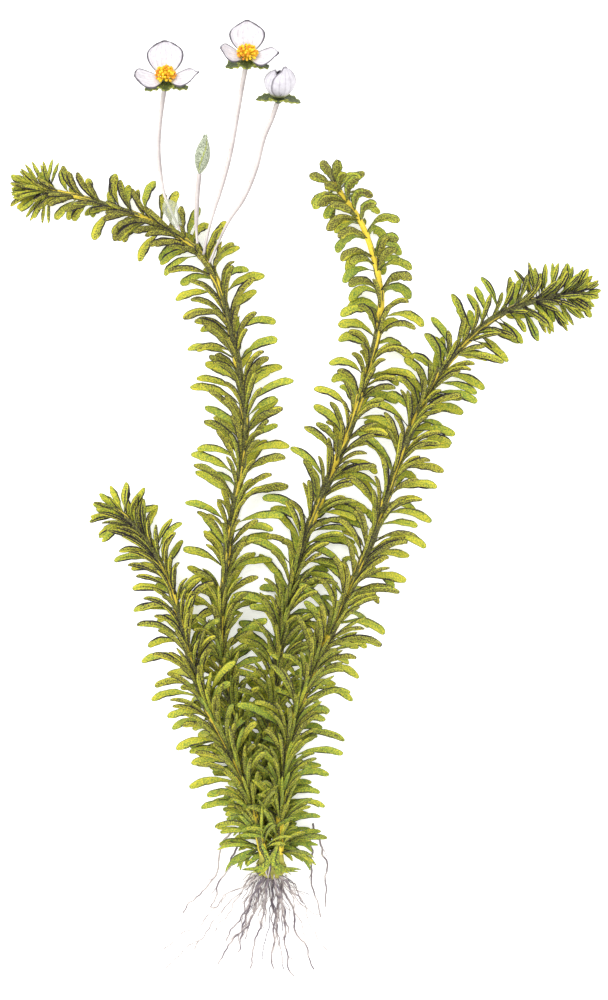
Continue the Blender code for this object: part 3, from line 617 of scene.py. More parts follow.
@dataclass(frozen=True)
class CrownTissue(Finish):
    """Old stem tissue: yellow-green and fibrous, olive in its hollows."""

    name: str = "waterweed_crown_fibrous"
    slot: str = "crown_tan"
    roughness: float = 0.7
    fine: float = 0.9
    patch: float = 3.0
    stops: tuple = ((0.0, "#6A6638"), (0.4, "#908E3C"), (0.7, "#B8B040"), (1.0, "#DECC46"))

    def colour(self, on: Surface) -> tuple[Socket, Socket]:
        """Mixes fibres and patches.

        Args:
            on: the surface that it colours.

        Returns:
            The sockets of the colour and the bump's height.
        """
        grain = on.add(Kind.GRAIN, on.place, lumps(self.fine), 4.0)
        patch = on.add(Kind.GRAIN, on.place, lumps(self.patch))
        return on.add(Kind.RAMP, on.total(-0.2, (grain, 0.7), (patch, 0.7)), stops=self.stops), grain


@dataclass(frozen=True)
class StalkSkin(Finish):
    """Long watery flower stalk: nearly colourless tissue, grey-mauve in stretches along it and as painted shade
    on its two sides, most on one.
    """

    name: str = "waterweed_stalk_watery"
    slot: str = "stalk_pale"
    roughness: float = 0.35
    fine: float = 0.8
    patch: float = 7.0
    stops: tuple = ((0.0, "#8A7F81"), (0.45, "#B8AEAC"), (1.0, "#DDD5D1"))

    def colour(self, on: Surface) -> tuple[Socket, Socket]:
        """Paints shade round the stalk, on its two sides and most on one, and varies it in stretches along.

        Args:
            on: the surface that it colours.

        Returns:
            The sockets of the colour and the bump's height.
        """
        grain = on.add(Kind.GRAIN, on.place, lumps(self.fine))
        stretch = on.add(Kind.GRAIN, on.place, lumps(self.patch), 1.0)
        # painted shade: darker grey-mauve towards the stalk's two sides, as a round stalk is shaded, and more
        # on one side
        side = on.add(Kind.COSINE, on.add(Kind.TIMES, on.spot[0], math.tau))
        edge = on.add(Kind.POWER, side, 2.0)
        shade = on.total(0.15, (grain, 0.4), (stretch, 0.7), (edge, -0.3), (side, -0.35))
        return on.add(Kind.RAMP, shade, stops=self.stops), grain


@dataclass(frozen=True)
class PetalSkin(Finish):
    """Thin crinkled petal: white, with grey-lilac veins that fan out from a yellow-green claw, and grey-lilac
    painted shade towards its sides and end, more on a closed flower.
    """

    name: str = "waterweed_petal_white"
    slot: str = "petal_white"
    roughness: float = 0.55
    fine: float = 1.3
    veins: float = 22.0  # radians of the veins' wave over half the petal's width
    white: str = "#DCD9DF"
    # the grey of the veins and of the petal's painted shade
    vein_and_shade_grey: str = "#938B96"
    outline: str = "#57515A"
    claw: str = "#CDD08A"

    def colour(self, on: Surface) -> tuple[Socket, Socket]:
        """Lays the veins and the painted shade, the drawn rim and the claw over the white.

        Args:
            on: the surface that it colours.

        Returns:
            The sockets of the colour and the bump's height.
        """
        side, along, _ = on.spot
        wrapped, flank, _ = on.tint
        grain = on.add(Kind.GRAIN, on.place, lumps(self.fine), 3.0)
        fan = on.add(Kind.TIMES_PLUS, side, self.veins, grain)
        vein = on.add(Kind.RISE, on.add(Kind.SINE, fan), 0.6, 1.0)
        across = on.add(Kind.SIZE, side)
        near = on.add(Kind.RISE, across, 0.45, 1.0)
        upper = on.add(Kind.RISE, along, 0.74, 1.0)
        rim = on.add(Kind.RISE, on.add(Kind.TIMES_PLUS, upper, 0.34, across), 0.87, 0.95)
        end = on.add(Kind.RISE, along, 0.93, 0.97)
        claw = on.add(Kind.RISE, along, 0.2, 0.0)
        # painted shade: grey towards the petal's sides and end and over a whole closed flower, clouded by grain
        # and mixed with the veins
        shade = on.total(-0.4, (vein, 0.24), (near, 0.16), (upper, 0.16), (grain, 0.9), (wrapped, 0.22))
        skin = on.add(Kind.MIX, shade, self.white, self.vein_and_shade_grey)
        drawn = on.total(-0.25, (rim, 1.1), (end, 1.0), (grain, 0.5), (flank, 1.0), (wrapped, -0.4))
        skin = on.add(Kind.MIX, drawn, skin, self.outline)
        return on.add(Kind.MIX, claw, skin, self.claw), on.total(0.1, (grain, 0.6), (vein, 0.3))


@dataclass(frozen=True)
class SepalSkin(Finish):
    """Firm green sepal, dark and matt with a lighter edge."""

    name: str = "waterweed_sepal_firm"
    slot: str = "sepal_green"
    fine: float = 0.38
    patch: float = 1.4
    stops: tuple = ((0.0, "#2C3818"), (0.4, "#505F27"), (0.75, "#858F34"), (1.0, "#BDBB40"))

    def colour(self, on: Surface) -> tuple[Socket, Socket]:
        """Runs from dark green to a light edge.

        Args:
            on: the surface that it colours.

        Returns:
            The sockets of the colour and the bump's height.
        """
        fine = on.add(Kind.RISE, on.add(Kind.GRAIN, on.place, lumps(self.fine), 1.0), 0.4, 0.6)
        patch = on.add(Kind.GRAIN, on.place, lumps(self.patch))
        rim = on.add(Kind.RISE, on.add(Kind.SIZE, on.spot[0]), 0.7, 1.0)
        shade = on.total(-0.25, (rim, 0.5), (fine, 0.45), (patch, 0.5))
        return on.add(Kind.RAMP, shade, stops=self.stops), fine


@dataclass(frozen=True)
class BudSkin(Finish):
    """Closed bud: grey-green sepals, darkly stippled, with yellow-green edges where they overlap."""

    name: str = "waterweed_bud_closed"
    slot: str = "sepal_green"
    fine: float = 0.36
    patch: float = 1.8

    def colour(self, on: Surface) -> tuple[Socket, Socket]:
        """Lays the stipple over the body and the light edges over that.

        Args:
            on: the surface that it colours.

        Returns:
            The sockets of the colour and the bump's height.
        """
        fine = on.add(Kind.RISE, on.add(Kind.GRAIN, on.place, lumps(self.fine), 1.0), 0.42, 0.58)
        patch = on.add(Kind.GRAIN, on.place, lumps(self.patch))
        body = on.add(Kind.MIX, on.total(-0.4, (fine, 0.75), (patch, 0.7)), "#B7BEA4", "#3C4834")
        return on.add(Kind.MIX, on.add(Kind.RISE, on.spot[2], 0.25, 0.8), body, "#98A13C"), fine


@dataclass(frozen=True)
class Pollen(Finish):
    """Stamen clubs covered in pollen: dry, bright yellow to orange."""

    name: str = "waterweed_stamen_pollen"
    slot: str = "stamen_yellow"
    roughness: float = 0.75
    fine: float = 0.45
    stops: tuple = ((0.0, "#FBE032"), (0.38, "#F7C824"), (0.62, "#EC9C20"), (1.0, "#B8681C"))

    def colour(self, on: Surface) -> tuple[Socket, Socket]:
        """Runs from yellow to orange, club by club."""
        grain = on.add(Kind.GRAIN, on.place, lumps(self.fine))
        return on.add(Kind.RAMP, on.total(-0.25, (grain, 0.9), (on.tint[0], 0.5)), stops=self.stops), grain


@dataclass(frozen=True)
class SpatheFilm(Finish):
    """Split sheath one or two cells thick, so clear that what is behind it shows."""

    name: str = "waterweed_spathe_film"
    slot: str = "spathe_skin"
    roughness: float = 0.35
    fine: float = 1.2
    alpha: float = 0.32

    def colour(self, on: Surface) -> tuple[Socket, Socket]:
        """Clouds the film a little."""
        grain = on.add(Kind.GRAIN, on.place, lumps(self.fine))
        return on.add(Kind.MIX, on.total(0.0, (grain, 1.0)), "#D8DCC8", "#A9AE98"), grain

    def shade(self, shader: bpy.types.Node) -> None:
        """Makes the film thin enough to see through."""
        shader.inputs["Alpha"].default_value = self.alpha


@dataclass(frozen=True)
class TableTop(Finish):
    """Plain pale table: matt white laminate."""

    name: str = "studio_table_matt"
    slot: str = ""
    roughness: float = 0.85
    specular: float = 0.15
    fine: float = 2.0
    glow: float = 0.4  # lit a little from inside, as a light table is, so that gaps between leaves stay pale

    def colour(self, on: Surface) -> tuple[Socket, Socket]:
        """Gives the laminate a faint cloud."""
        grain = on.add(Kind.GRAIN, on.place, lumps(self.fine))
        return on.add(Kind.MIX, grain, "#FBFBFA", "#F8F8F7"), grain

    def shade(self, shader: bpy.types.Node) -> None:
        """Lights the table from inside."""
        shader.inputs["Emission Color"].default_value = linear("#FFFFFF")
        shader.inputs["Emission Strength"].default_value = self.glow



class Tip(Enum):
    """How a shoot ends."""

    NEEDLES = "a brush of fine needles"
    STAR = "an open star of narrow leaves"
    SPOONS = "a rosette of broad spoon leaves"
    SPRAY = "a dense spray of narrow leaves"


@dataclass(frozen=True)
class TipLeaves:
    """The youngest leaves at a shoot's tip."""

    count: int
    ahead: float  # how far from the stem's end the innermost starts
    back: float  # how much further from it the outermost starts
    length: tuple[float, float]
    width: float
    angle: tuple[float, float]  # to the stem, from the innermost to the outermost
    turn: float
    tone: float
    green: float
    ink: float
    spoon: float = 0.0  # 0 for a strap, 1 for a leaf that is broadest near its end
    point: float = 0.0  # 0 for a blunt end, 1 for a sharp one
    level: float = 0.0  # 0 for leaves all round the stem, 1 for leaves to its two sides alone
    opening: float = 1.0  # under 1 for leaves that already stand wide a little behind the innermost


TIPS = {
    Tip.NEEDLES: TipLeaves(
        40, 3.2, 5.5, (6.6, 10.0), 1.4, (3, 118), -34, 0.2, 0.15, 0.4, point=0.45, level=0.5
    ),
    Tip.STAR: TipLeaves(
        11, 2.6, 3.0, (8.5, 10.5), 2.6, (6, 128), -44, -0.1, 0.15, 0.3, spoon=0.25, point=0.4, level=0.72
    ),
    Tip.SPOONS: TipLeaves(
        9, 0.6, 4.6, (8.0, 9.6), 3.1, (12, 138), -10, 0.8, 0.5, -0.4, spoon=1.0, level=0.68
    ),
    Tip.SPRAY: TipLeaves(
        34, 1.4, 15.0, (6.6, 11.4), 1.95, (4, 112), -30, 0.15, 0.2, 1.0,
        spoon=0.15, point=0.45, level=0.66, opening=0.62,
    ),
}

GROWTH_PLACES = [0.0, 0.15, 0.35, 0.55, 0.75, 0.9, 1.0]


@dataclass(frozen=True)
class Growth:
    """How leaves change along a shoot, at GROWTH_PLACES as shares of its length."""

    gap: tuple
    length: tuple
    angle: tuple
    turn: tuple
    width: tuple
    green: tuple
    ink: tuple
    tone: tuple
    fill: tuple  # share of the leaves between two whorls that are there
    cover: tuple  # share of the leaves along the upper side of the stem that are there
    bare: tuple  # share of the stem that shows clear yellow

    def at(self, what: str, share: float) -> float:
        """A value, such as the leaf length, at a share of the shoot's length."""
        return float(np.interp(share, GROWTH_PLACES, getattr(self, what)))


@dataclass(frozen=True)
class Habit:
    """How the leaves of a kind vary from one to the next: the lowest and the highest of each."""

    length: tuple[float, float]  # shares of the shoot's own
    angle: tuple[float, float]  # degrees more than the shoot's own
    bend: tuple[float, float]  # degrees more than the shoot's own
    width: tuple[float, float]  # shares of the shoot's own


IN_WHORLS = Habit((0.86, 1.1), (-7, 7), (-14, 14), (0.86, 1.12))
BETWEEN_WHORLS = Habit((0.7, 1.0), (-12, 10), (-16, 22), (0.78, 1.0))


@dataclass
class Surroundings:
    """What leaves give way to: the table, the other shoots, and the stalks and roots."""

    stems: np.ndarray
    stalks: np.ndarray
    thickness: float = 0.5
    neighbour_room: float = 0.9
    stalk_room: float = 1.4

    @staticmethod
    def nearest(points: np.ndarray, place: np.ndarray) -> tuple[np.ndarray, float]:
        """Finds the nearest of the points.

        Args:
            points: the points.
            place: what they are to be near.

        Returns:
            The nearest point, and its distance.
        """
        gaps = np.linalg.norm(points - place, axis=1)
        index = int(gaps.argmin())
        return points[index], max(float(gaps[index]), 1e-6)

    def walls(self, place: np.ndarray, own: np.ndarray) -> list[tuple[float, np.ndarray]]:
        """What a leaf bends along.

        Args:
            place: where the leaf has got to.
            own: the middle line of its own stem.

        Returns:
            For each thing, the gap to it and the direction away from it.
        """
        stem, own_gap = self.nearest(own, place)
        other, other_gap = self.nearest(self.stems, place)
        stalk, stalk_gap = self.nearest(self.stalks, place)
        away = unit((place - other) / other_gap - (place - stem) / own_gap)
        return [
            ((other_gap - own_gap) / 2 - self.neighbour_room, away),
            (stalk_gap - self.stalk_room, unit(place - stalk)),
            (place[2] - self.thickness / 2, UP),
        ]


@dataclass
class LeafShape:
    """The outline and cross-section of a leaf, the same for all but for its size."""

    thickness: float = 0.26
    cup: float = 0.05  # how far the rims stand up, as a share of the half width
    rings: tuple = (0.0, 0.07, 0.16, 0.26, 0.37, 0.48, 0.59, 0.69, 0.78, 0.86, 0.92, 0.965, 0.992)
    round_from: float = 0.8
    widest_from: float = 0.56
    across: tuple = (-1.0, -0.86, -0.45, 0.0, 0.45, 0.86, 1.0, 0.86, 0.45, 0.0, -0.45, -0.86)
    face: tuple = (0.0, 0.8, 1.0, 0.8, 1.0, 0.8, 0.0, -0.8, -1.0, -1.3, -1.0, -0.8)

    @cached_property
    def weights(self) -> np.ndarray:
        """How each ring's place comes from the places along the leaf's line.

        Returns:
            A row of weights for each ring, as a smooth curve through the places has them.
        """
        count = LEAF_STEPS + 1
        made = np.zeros((len(self.rings), count))
        for ring, share in enumerate(self.rings):
            at = share * LEAF_STEPS
            cell = min(int(at), LEAF_STEPS - 1)
            t = at - cell
            parts = (
                -0.5 * t + t * t - 0.5 * t**3,
                1 - 2.5 * t * t + 1.5 * t**3,
                0.5 * t + 2 * t * t - 1.5 * t**3,
                -0.5 * t * t + 0.5 * t**3,
            )
            for offset, part in zip((-1, 0, 1, 2), parts):
                made[ring, min(max(cell + offset, 0), count - 1)] += part
        return made

    def half_widths(self, leaf: Leaf) -> np.ndarray:
        """Half the leaf's width at each ring.

        Args:
            leaf: gives its full width, how narrow its neck is, how broad its end and how sharp its point.

        Returns:
            One value for each ring.
        """
        v = np.array(self.rings)
        start = self.round_from - 0.16 * leaf.spoon - 0.42 * leaf.point
        neck = leaf.neck - 0.1 * leaf.spoon
        body = neck + (1 - neck) * smoothstep(0.0, self.widest_from + 0.12 * leaf.spoon, v)
        taper = np.clip((v - start) / (1 - start), 0, 1)
        end = (1 - taper ** (2.3 - 0.7 * leaf.point)) ** (0.5 + 0.35 * leaf.point)
        return leaf.width / 2 * body * end
@dataclass
class Leaf:
    """One leaf: its line, its width and what its finish needs."""

    places: np.ndarray
    acrosses: np.ndarray
    faces: np.ndarray
    width: float
    tone: float
    ink: float
    green: float
    seed: float
    spoon: float = 0.0
    point: float = 0.0
    neck: float = 0.42

    def add_to(self, draft: Draft, shape: LeafShape) -> None:
        """Adds the leaf's closed blade.

        Args:
            draft: the mesh in the making.
            shape: the outline and cross-section that all leaves share.
        """
        middle = shape.weights @ self.places
        across = shape.weights @ self.acrosses
        face = shape.weights @ self.faces
        across /= np.linalg.norm(across, axis=1)[:, None]
        face /= np.linalg.norm(face, axis=1)[:, None]
        half = shape.half_widths(self)
        u, side = np.array(shape.across), np.array(shape.face)
        v = np.array(shape.rings)
        slim = np.clip(half / (0.25 * self.width), 0.35, 1.0)
        curl = shape.cup * half[:, None] * (u**2)[None, :] * (0.6 + 0.8 * self.seed)
        ruffle = 0.06 * self.width * np.sin(v * 17 + self.seed * 40)[:, None] * (u * np.abs(u))[None, :]
        lift = shape.thickness / 2 * slim[:, None] * side[None, :] + curl + ruffle
        wavy = 1 + 0.07 * np.sin(v[:, None] * 21 + self.seed * 60 + 2.2 * np.sign(u)[None, :])
        aside = across[:, None] * (half[:, None] * wavy * u)[..., None]
        points = middle[:, None] + aside + face[:, None] * lift[..., None]
        points[..., 2] = np.maximum(points[..., 2], 0.02 + 0.05 * (side[None, :] > 0))
        rings, sides = len(v), len(u)
        # the sign of the side value: negative towards the rim painted as lit, positive towards the painted
        # shaded side that carries the ink line
        shaded_and_inked_side = np.tile(u if self.seed > 0.5 else -u, rings)
        spots = np.stack([shaded_and_inked_side, np.repeat(v, sides), np.full(rings * sides, self.tone)], axis=1)
        faces = shell_faces(rings, sides, inside_out=True)
        draft.add(points.reshape(-1, 3), faces, spots, (self.ink, self.green, self.seed))

@dataclass
class Shoot:
    """One leafy shoot: a yellow stem and its whorls of leaves."""

    node: str
    label: str
    route: list[Triple]
    growth: Growth
    tip: Tip
    stem_radius: float = 1.75
    tip_share: float = 0.6
    leaf_width: float = 2.8
    first_whorl: float = 2.4
    whorl_turn: float = math.radians(52)
    leaves_in_whorl: int = 4
    bend_room: float = 2.6
    slowest_turn: float = 0.35
    lying_twist: float = 0.75
    droop: float = 0.3
    upper_close: float = 0.45
    upper_straight: float = 0.4
    neighbour_push: float = 0.05
    arch: float = 0.16
    longer: float = 1.08
    swing_room: float = math.radians(58)
    swing: float = 0.4
    late: float = 1.6
    skirt: int = 11
    apron: int = 6
    dark_side_leaves: float = 0.09
    closest_whorls: float = 3.5
    front_close: tuple = (8.0, 36.0, 1.6)  # from, to and gap of the close leaves on the stem's upper side
    front_wide: tuple = (2.4, 2.5)  # the first and the later gaps of those further up
    front_end: float = 4.0  # how far from the tip they stop
    stem_sides: int = 18
    stem_step: float = 0.7
    stem_foot: float = -1.5  # inside the crown
    swelling: float = 0.12  # at each whorl, as a share of the radius
    streak_length: float = 8.0
    tangle: int = 0
    tangle_reach: float = 60.0
    tip_droop: float = 0.3
    shape: LeafShape = field(default_factory=LeafShape)
    around: Surroundings = field(init=False)

    def __post_init__(self) -> None:
        """Spreads points along the stem, one for each millimetre."""
        count = int(sum(np.linalg.norm(np.diff(np.array(self.route), axis=0), axis=1)))
        self.points, self.directions, self.length = Route(self.route).spread(count)

    def at(self, distance: float) -> tuple[np.ndarray, np.ndarray, np.ndarray, np.ndarray]:
        """Finds where a distance along the stem leads.

        Args:
            distance: from the stem's foot.

        Returns:
            The place, and the directions along the stem, to its side and to its top.
        """
        share = np.clip(distance / self.length, 0.0, 1.0) * (len(self.points) - 1)
        low = min(int(share), len(self.points) - 2)
        mix = share - low
        place = self.points[low] * (1 - mix) + self.points[low + 1] * mix
        along = unit(self.directions[low] * (1 - mix) + self.directions[low + 1] * mix)
        side = unit(np.cross(along, (0, 0, 1)))
        return place, along, side, np.cross(side, along)

    def grown(self, what: str, distance: float) -> float:
        """A growth value at a distance from the foot."""
        return self.growth.at(what, distance / self.length)

    def radius(self, distance: float) -> float:
        """The stem's radius at a distance from the foot."""
        return self.stem_radius * (1 - (1 - self.tip_share) * (distance / self.length) ** 3)

    def whorls(self) -> list[float]:
        """Finds where the whorls are.

        Returns:
            Their distances from the stem's foot.
        """
        place, found = self.first_whorl, []
        while place < self.length - 1.0:
            found.append(place)
            place += self.grown("gap", place)
        return found

    def leaf_line(
        self, distance: float, facing: float, length: float, angle: float, turn: float, sink: float = 0.0
    ) -> tuple[np.ndarray, np.ndarray, np.ndarray]:
        """The middle line of a leaf, bent by what it meets.

        Args:
            distance: of its foot along the stem.
            facing: round the stem.
            length: of the leaf.
            angle: to the stem, on average, over its first half.
            turn: the further angle that it turns through by its tip.
            sink: how much of its rise away from the table it loses by its tip.

        Returns:
            Places, directions across and directions of the upper face, one for each step.
        """
        start, along, side, top = self.at(distance)
        outward = math.cos(facing) * side + math.sin(facing) * top
        across = np.cross(outward, along)
        flat_side = 1.0 if outward[2] < 0.1 else -1.0
        upper = max(float(outward[2]), 0.0)
        angle *= 1 - self.upper_close * upper
        turn *= 1 - self.upper_straight * upper
        turn = (1 + self.late) * (turn / 2.2 + self.arch * angle)
        place = start + outward * self.radius(distance) * 0.5
        ending = float(smoothstep(0.7, 0.88, distance / self.length))
        droop = self.droop + (self.tip_droop - self.droop) * ending
        pushes = (self.neighbour_push, 1.0, 1.0)
        places, acrosses, faces = [], [], []
        for step in range(LEAF_STEPS + 1):
            share = step / LEAF_STEPS
            lean = angle * (1 - self.arch) + turn * share**self.late
            out = unit(outward * (1, 1, 1 - sink * share))
            heading = unit(math.cos(lean) * along + math.sin(lean) * out + droop * share * DOWN_THE_PICTURE)
            for (gap, away), weight in zip(self.around.walls(place, self.points), pushes):
                push = weight * min(max(1.0 - gap / self.bend_room, 0.0), 1.0)
                into = min(float(heading @ away), 0.0)
                heading = unit(heading - push * into * away - push * into * self.slowest_turn * along)
                across = unit(across - push * float(across @ away) * away)
            flat = flat_side * np.cross(heading, UP)
            twist = self.lying_twist * min(share * 2.2, 1.0)
            across = unit(across * (1 - twist / 2) + flat * twist / 2)
            across = unit(across - float(across @ heading) * heading)
            places.append(place)
            acrosses.append(across)
            faces.append(np.cross(across, heading))
            place = place + heading * length / LEAF_STEPS
            for gap, away in self.around.walls(place, self.points)[1:]:
                place = place - min(gap, 0.0) * away
        return np.array(places), np.array(acrosses), np.array(faces)

    def varied(self, rng: random.Random, distance: float, habit: Habit) -> tuple[float, float, float, float]:
        """Draws how a leaf grows.

        Args:
            rng: the leaf's own turns of chance.
            distance: of its foot along the stem.
            habit: how leaves of its kind vary.

        Returns:
            Its length, angle, bend and width.
        """
        return (
            self.grown("length", distance) * rng.uniform(*habit.length),
            math.radians(self.grown("angle", distance) + rng.uniform(*habit.angle)),
            math.radians(self.grown("turn", distance) + rng.uniform(*habit.bend)),
            self.leaf_width * self.grown("width", distance) * rng.uniform(*habit.width),
        )

    def whorl_leaves(self) -> Iterator[Leaf]:
        """Grows the leaves that the solid has too, with the same turns of chance.

        Yields:
            Each leaf.
        """
        for number, distance in enumerate(self.whorls()):
            turn = number * self.whorl_turn
            for k in range(self.leaves_in_whorl):
                rng = random.Random(f"{self.node} {number} {k}")
                facing = turn + k * math.tau / self.leaves_in_whorl + math.radians(rng.uniform(-7, 7))
                length, angle, bend, width = self.varied(rng, distance, IN_WHORLS)
                facing += math.radians(rng.uniform(-14, 14))
                foot = max(distance + rng.uniform(-1.3, 1.3), 1.0)
                yield self.leaf(rng, foot, facing, length * self.longer, angle, bend, width)

    def between_leaves(self) -> Iterator[Leaf]:
        """Grows leaves that stand between the solid's whorls and stay within their reach.

        Yields:
            Each leaf.
        """
        places = self.whorls()
        for number, (distance, after) in enumerate(zip(places, places[1:])):
            if after - distance < self.closest_whorls:
                continue
            turn = (number + 0.5) * self.whorl_turn + math.radians(45)
            for k in range(self.leaves_in_whorl):
                rng = random.Random(f"{self.node} between {number} {k}")
                if rng.random() > self.grown("fill", distance):
                    continue
                middle = (distance + after) / 2 + rng.uniform(-1.2, 1.2)
                facing = turn + k * math.tau / self.leaves_in_whorl + math.radians(rng.uniform(-14, 14))
                yield self.leaf(rng, middle, facing, *self.varied(rng, middle, BETWEEN_WHORLS))

    def leaf(
        self,
        rng: random.Random,
        distance: float,
        facing: float,
        length: float,
        angle: float,
        bend: float,
        width: float,
        sink: float = 0.0,
        swings: bool = True,
    ) -> Leaf:
        """Grows one leaf, darker the more it faces up.

        Args:
            rng: its own turns of chance.
            distance: of its foot along the stem.
            facing: round the stem.
            length: of the leaf.
            angle: to the stem at its foot.
            bend: the further angle that it turns through.
            width: of the leaf.
            sink: how much of its rise away from the table it loses by its tip.
            swings: whether it swings aside from the top of the stem.

        Returns:
            The leaf.
        """
        from_top = (facing - math.pi / 2 + math.pi) % math.tau - math.pi
        if swings and abs(from_top) < self.swing_room:
            swing = self.swing + 0.4 * self.grown("bare", distance) ** 2
            from_top += math.copysign((self.swing_room - abs(from_top)) * swing, from_top)
            facing = math.pi / 2 + from_top
        places, acrosses, faces = self.leaf_line(distance, facing, length, angle, bend, sink)
        _, _, side, top = self.at(distance)
        up = float((math.cos(facing) * side + math.sin(facing) * top)[2])
        shaded = float(smoothstep(0.0, 0.55, up)) if rng.random() > self.dark_side_leaves else 0.8
        tone = self.grown("tone", distance) - 0.4 + 0.62 * shaded + rng.uniform(-0.1, 0.1)
        green = self.grown("green", distance) + rng.uniform(-0.3, 0.3)
        ink = clamp(self.grown("ink", distance) * rng.uniform(0.4, 1.3) * (0.7 + 0.4 * up), -0.6, 1.0)
        narrowed = 1 - 0.34 * float(smoothstep(0.2, 0.9, up)) * (ink >= 0)
        return Leaf(
            places,
            acrosses,
            faces,
            width=width * narrowed,
            tone=clamp(tone),
            ink=ink,
            green=clamp(green),
            seed=rng.random(),
            point=0.28 * max(ink, 0.0) + 0.2 * rng.random(),
            neck=0.4 + 0.15 * rng.random(),
        )

    def tip_leaves(self) -> Iterator[Leaf]:
        """Grows the youngest leaves, crowded at the tip and opening outwards.

        Yields:
            Each leaf.
        """
        facts = TIPS[self.tip]
        low, high = facts.angle
        short, long = facts.length
        for number in range(facts.count):
            rng = random.Random(f"{self.node} tip {number}")
            share = number / (facts.count - 1)
            turned = number * GOLDEN_TURN + rng.uniform(-0.2, 0.2)
            facing = math.atan2(math.sin(turned) * (1 - facts.level), math.cos(turned))
            distance = self.length - facts.ahead - facts.back * share
            angle = math.radians(low + (high - low) * share**facts.opening + rng.uniform(-6, 6))
            length = short + (long - short) * min(share * 1.6, 1.0) * rng.uniform(0.8, 1.1)
            turn = math.radians(facts.turn * min(share * 1.5, 1.0) + rng.uniform(-8, 8))
            yield Leaf(
                *self.leaf_line(distance, facing, length, angle, turn),
                width=facts.width * rng.uniform(0.86, 1.1),
                tone=clamp(facts.tone + rng.uniform(-0.12, 0.12)),
                ink=facts.ink * rng.uniform(0.3, 1.1) * (0.45 + 0.75 * share),
                green=facts.green * rng.uniform(0.5, 1.3),
                seed=rng.random(),
                spoon=facts.spoon,
                point=facts.point,
                neck=0.5,
            )

    def front_leaves(self) -> Iterator[Leaf]:
        """Grows leaves that cover most of the stem's upper side and arch away from it to both sides.

        Yields:
            Each leaf.
        """
        close = np.arange(*self.front_close)
        first, gap = self.front_wide
        wide = np.arange(close[-1] + first, self.length - self.front_end, gap)
        for number, distance in enumerate([*close, *wide]):
            rng = random.Random(f"{self.node} front {number}")
            if rng.random() > self.grown("cover", distance):
                continue
            low = float(smoothstep(50.0, 25.0, distance))
            facing = math.radians(90 + (1 if number % 2 else -1) * rng.uniform(8, 46))
            length = self.grown("length", distance) * rng.uniform(0.78, 1.12)
            angle = math.radians(rng.uniform(38, 76) - 16 * low)
            bend = math.radians(rng.uniform(4, 48) * (1 - 0.6 * low))
            width = self.leaf_width * self.grown("width", distance) * rng.uniform(0.68, 0.96)
            sink = 0.6 - 0.35 * low
            leaf = self.leaf(rng, distance, facing, length, angle, bend, width, sink, swings=False)
            leaf.tone = min(leaf.tone + 0.08, 1.0)
            leaf.neck = 0.36
            yield leaf

    def skirt_leaves(self) -> Iterator[Leaf]:
        """Grows the lowest and oldest leaves, which spread wide over the crown.

        Yields:
            Each leaf.
        """
        for number in range(self.skirt):
            rng = random.Random(f"{self.node} skirt {number}")
            low = rng.random() < 0.4
            distance = rng.uniform(0.4, 2.6) if low else rng.uniform(2.0, 14.0)
            facing = math.radians(rng.choice((0, 180)) + rng.uniform(-25, 50))
            angle = math.radians(rng.uniform(96, 124) if low else rng.uniform(62, 98))
            length, width = rng.uniform(8.0, 15.0), rng.uniform(1.4, 2.1)
            bend = math.radians(rng.uniform(-20, 40))
            leaf = self.leaf(rng, distance, facing, length, angle, bend, width)
            leaf.point, leaf.neck = 0.6, 0.5
            yield leaf

    def tangle_leaves(self) -> Iterator[Leaf]:
        """Grows narrow green leaves that stand up between the shoots, over the lower part of the stem.

        Yields:
            Each leaf.
        """
        for number in range(self.tangle):
            rng = random.Random(f"{self.node} tangle {number}")
            distance = 5.0 + self.tangle_reach * (number / self.tangle) ** 1.1 + rng.uniform(-1, 1)
            facing = math.radians(90 + rng.uniform(-60, 60))
            angle, bend = math.radians(rng.uniform(42, 74)), math.radians(rng.uniform(-24, 6))
            length, width = rng.uniform(10.0, 14.5), rng.uniform(1.5, 2.2)
            leaf = self.leaf(rng, distance, facing, length, angle, bend, width, swings=False)
            leaf.tone = rng.uniform(0.0, 0.5) + 0.3 * float(smoothstep(35.0, 60.0, distance))
            leaf.green, leaf.point = rng.uniform(0.1, 0.9), 0.5
            yield leaf

    def apron_leaves(self) -> Iterator[Leaf]:
        """Grows short pointed leaves that start on the lowest stem and fan out over the crown.

        Yields:
            Each leaf.
        """
        middle, reach = np.array(Crown.middle), np.array(Crown.radii) + 0.5
        for number in range(self.apron):
            rng = random.Random(f"{self.node} apron {number}")
            foot, _, _, top = self.at(rng.uniform(1.0, 5.0))
            aside = rng.choice((-1, 1)) * rng.uniform(0.3, 1.0)
            line = [foot + top * 1.2]
            for share, slope in zip((0.35, 0.65, 0.95), np.radians(np.array([-16, 2, rng.uniform(-2, 30)]))):
                rest = math.sqrt(1 - (share * aside) ** 2)
                out = np.array([share * aside * 1.3, -rest * math.sin(slope), rest * math.cos(slope)])
                line.append(middle + out * reach)
            line.append(line[-1] + (line[-1] - line[-2]) * 0.3 + np.array([aside * 2.5, -0.2, 0.2]))
            places, headings, _ = Route(line).spread(LEAF_STEPS + 1)
            up = np.array([unit(place - middle + (0.0, 0.0, 3.0)) for place in places])
            across = np.cross(headings, up)
            across /= np.linalg.norm(across, axis=1)[:, None]
            tone, green, width = rng.uniform(0.0, 0.5), rng.uniform(0.3, 0.8), rng.uniform(1.1, 1.8)
            faces = np.cross(across, headings)
            yield Leaf(places, across, faces, width, tone, 0.0, green, rng.random(), point=0.9, neck=0.6)

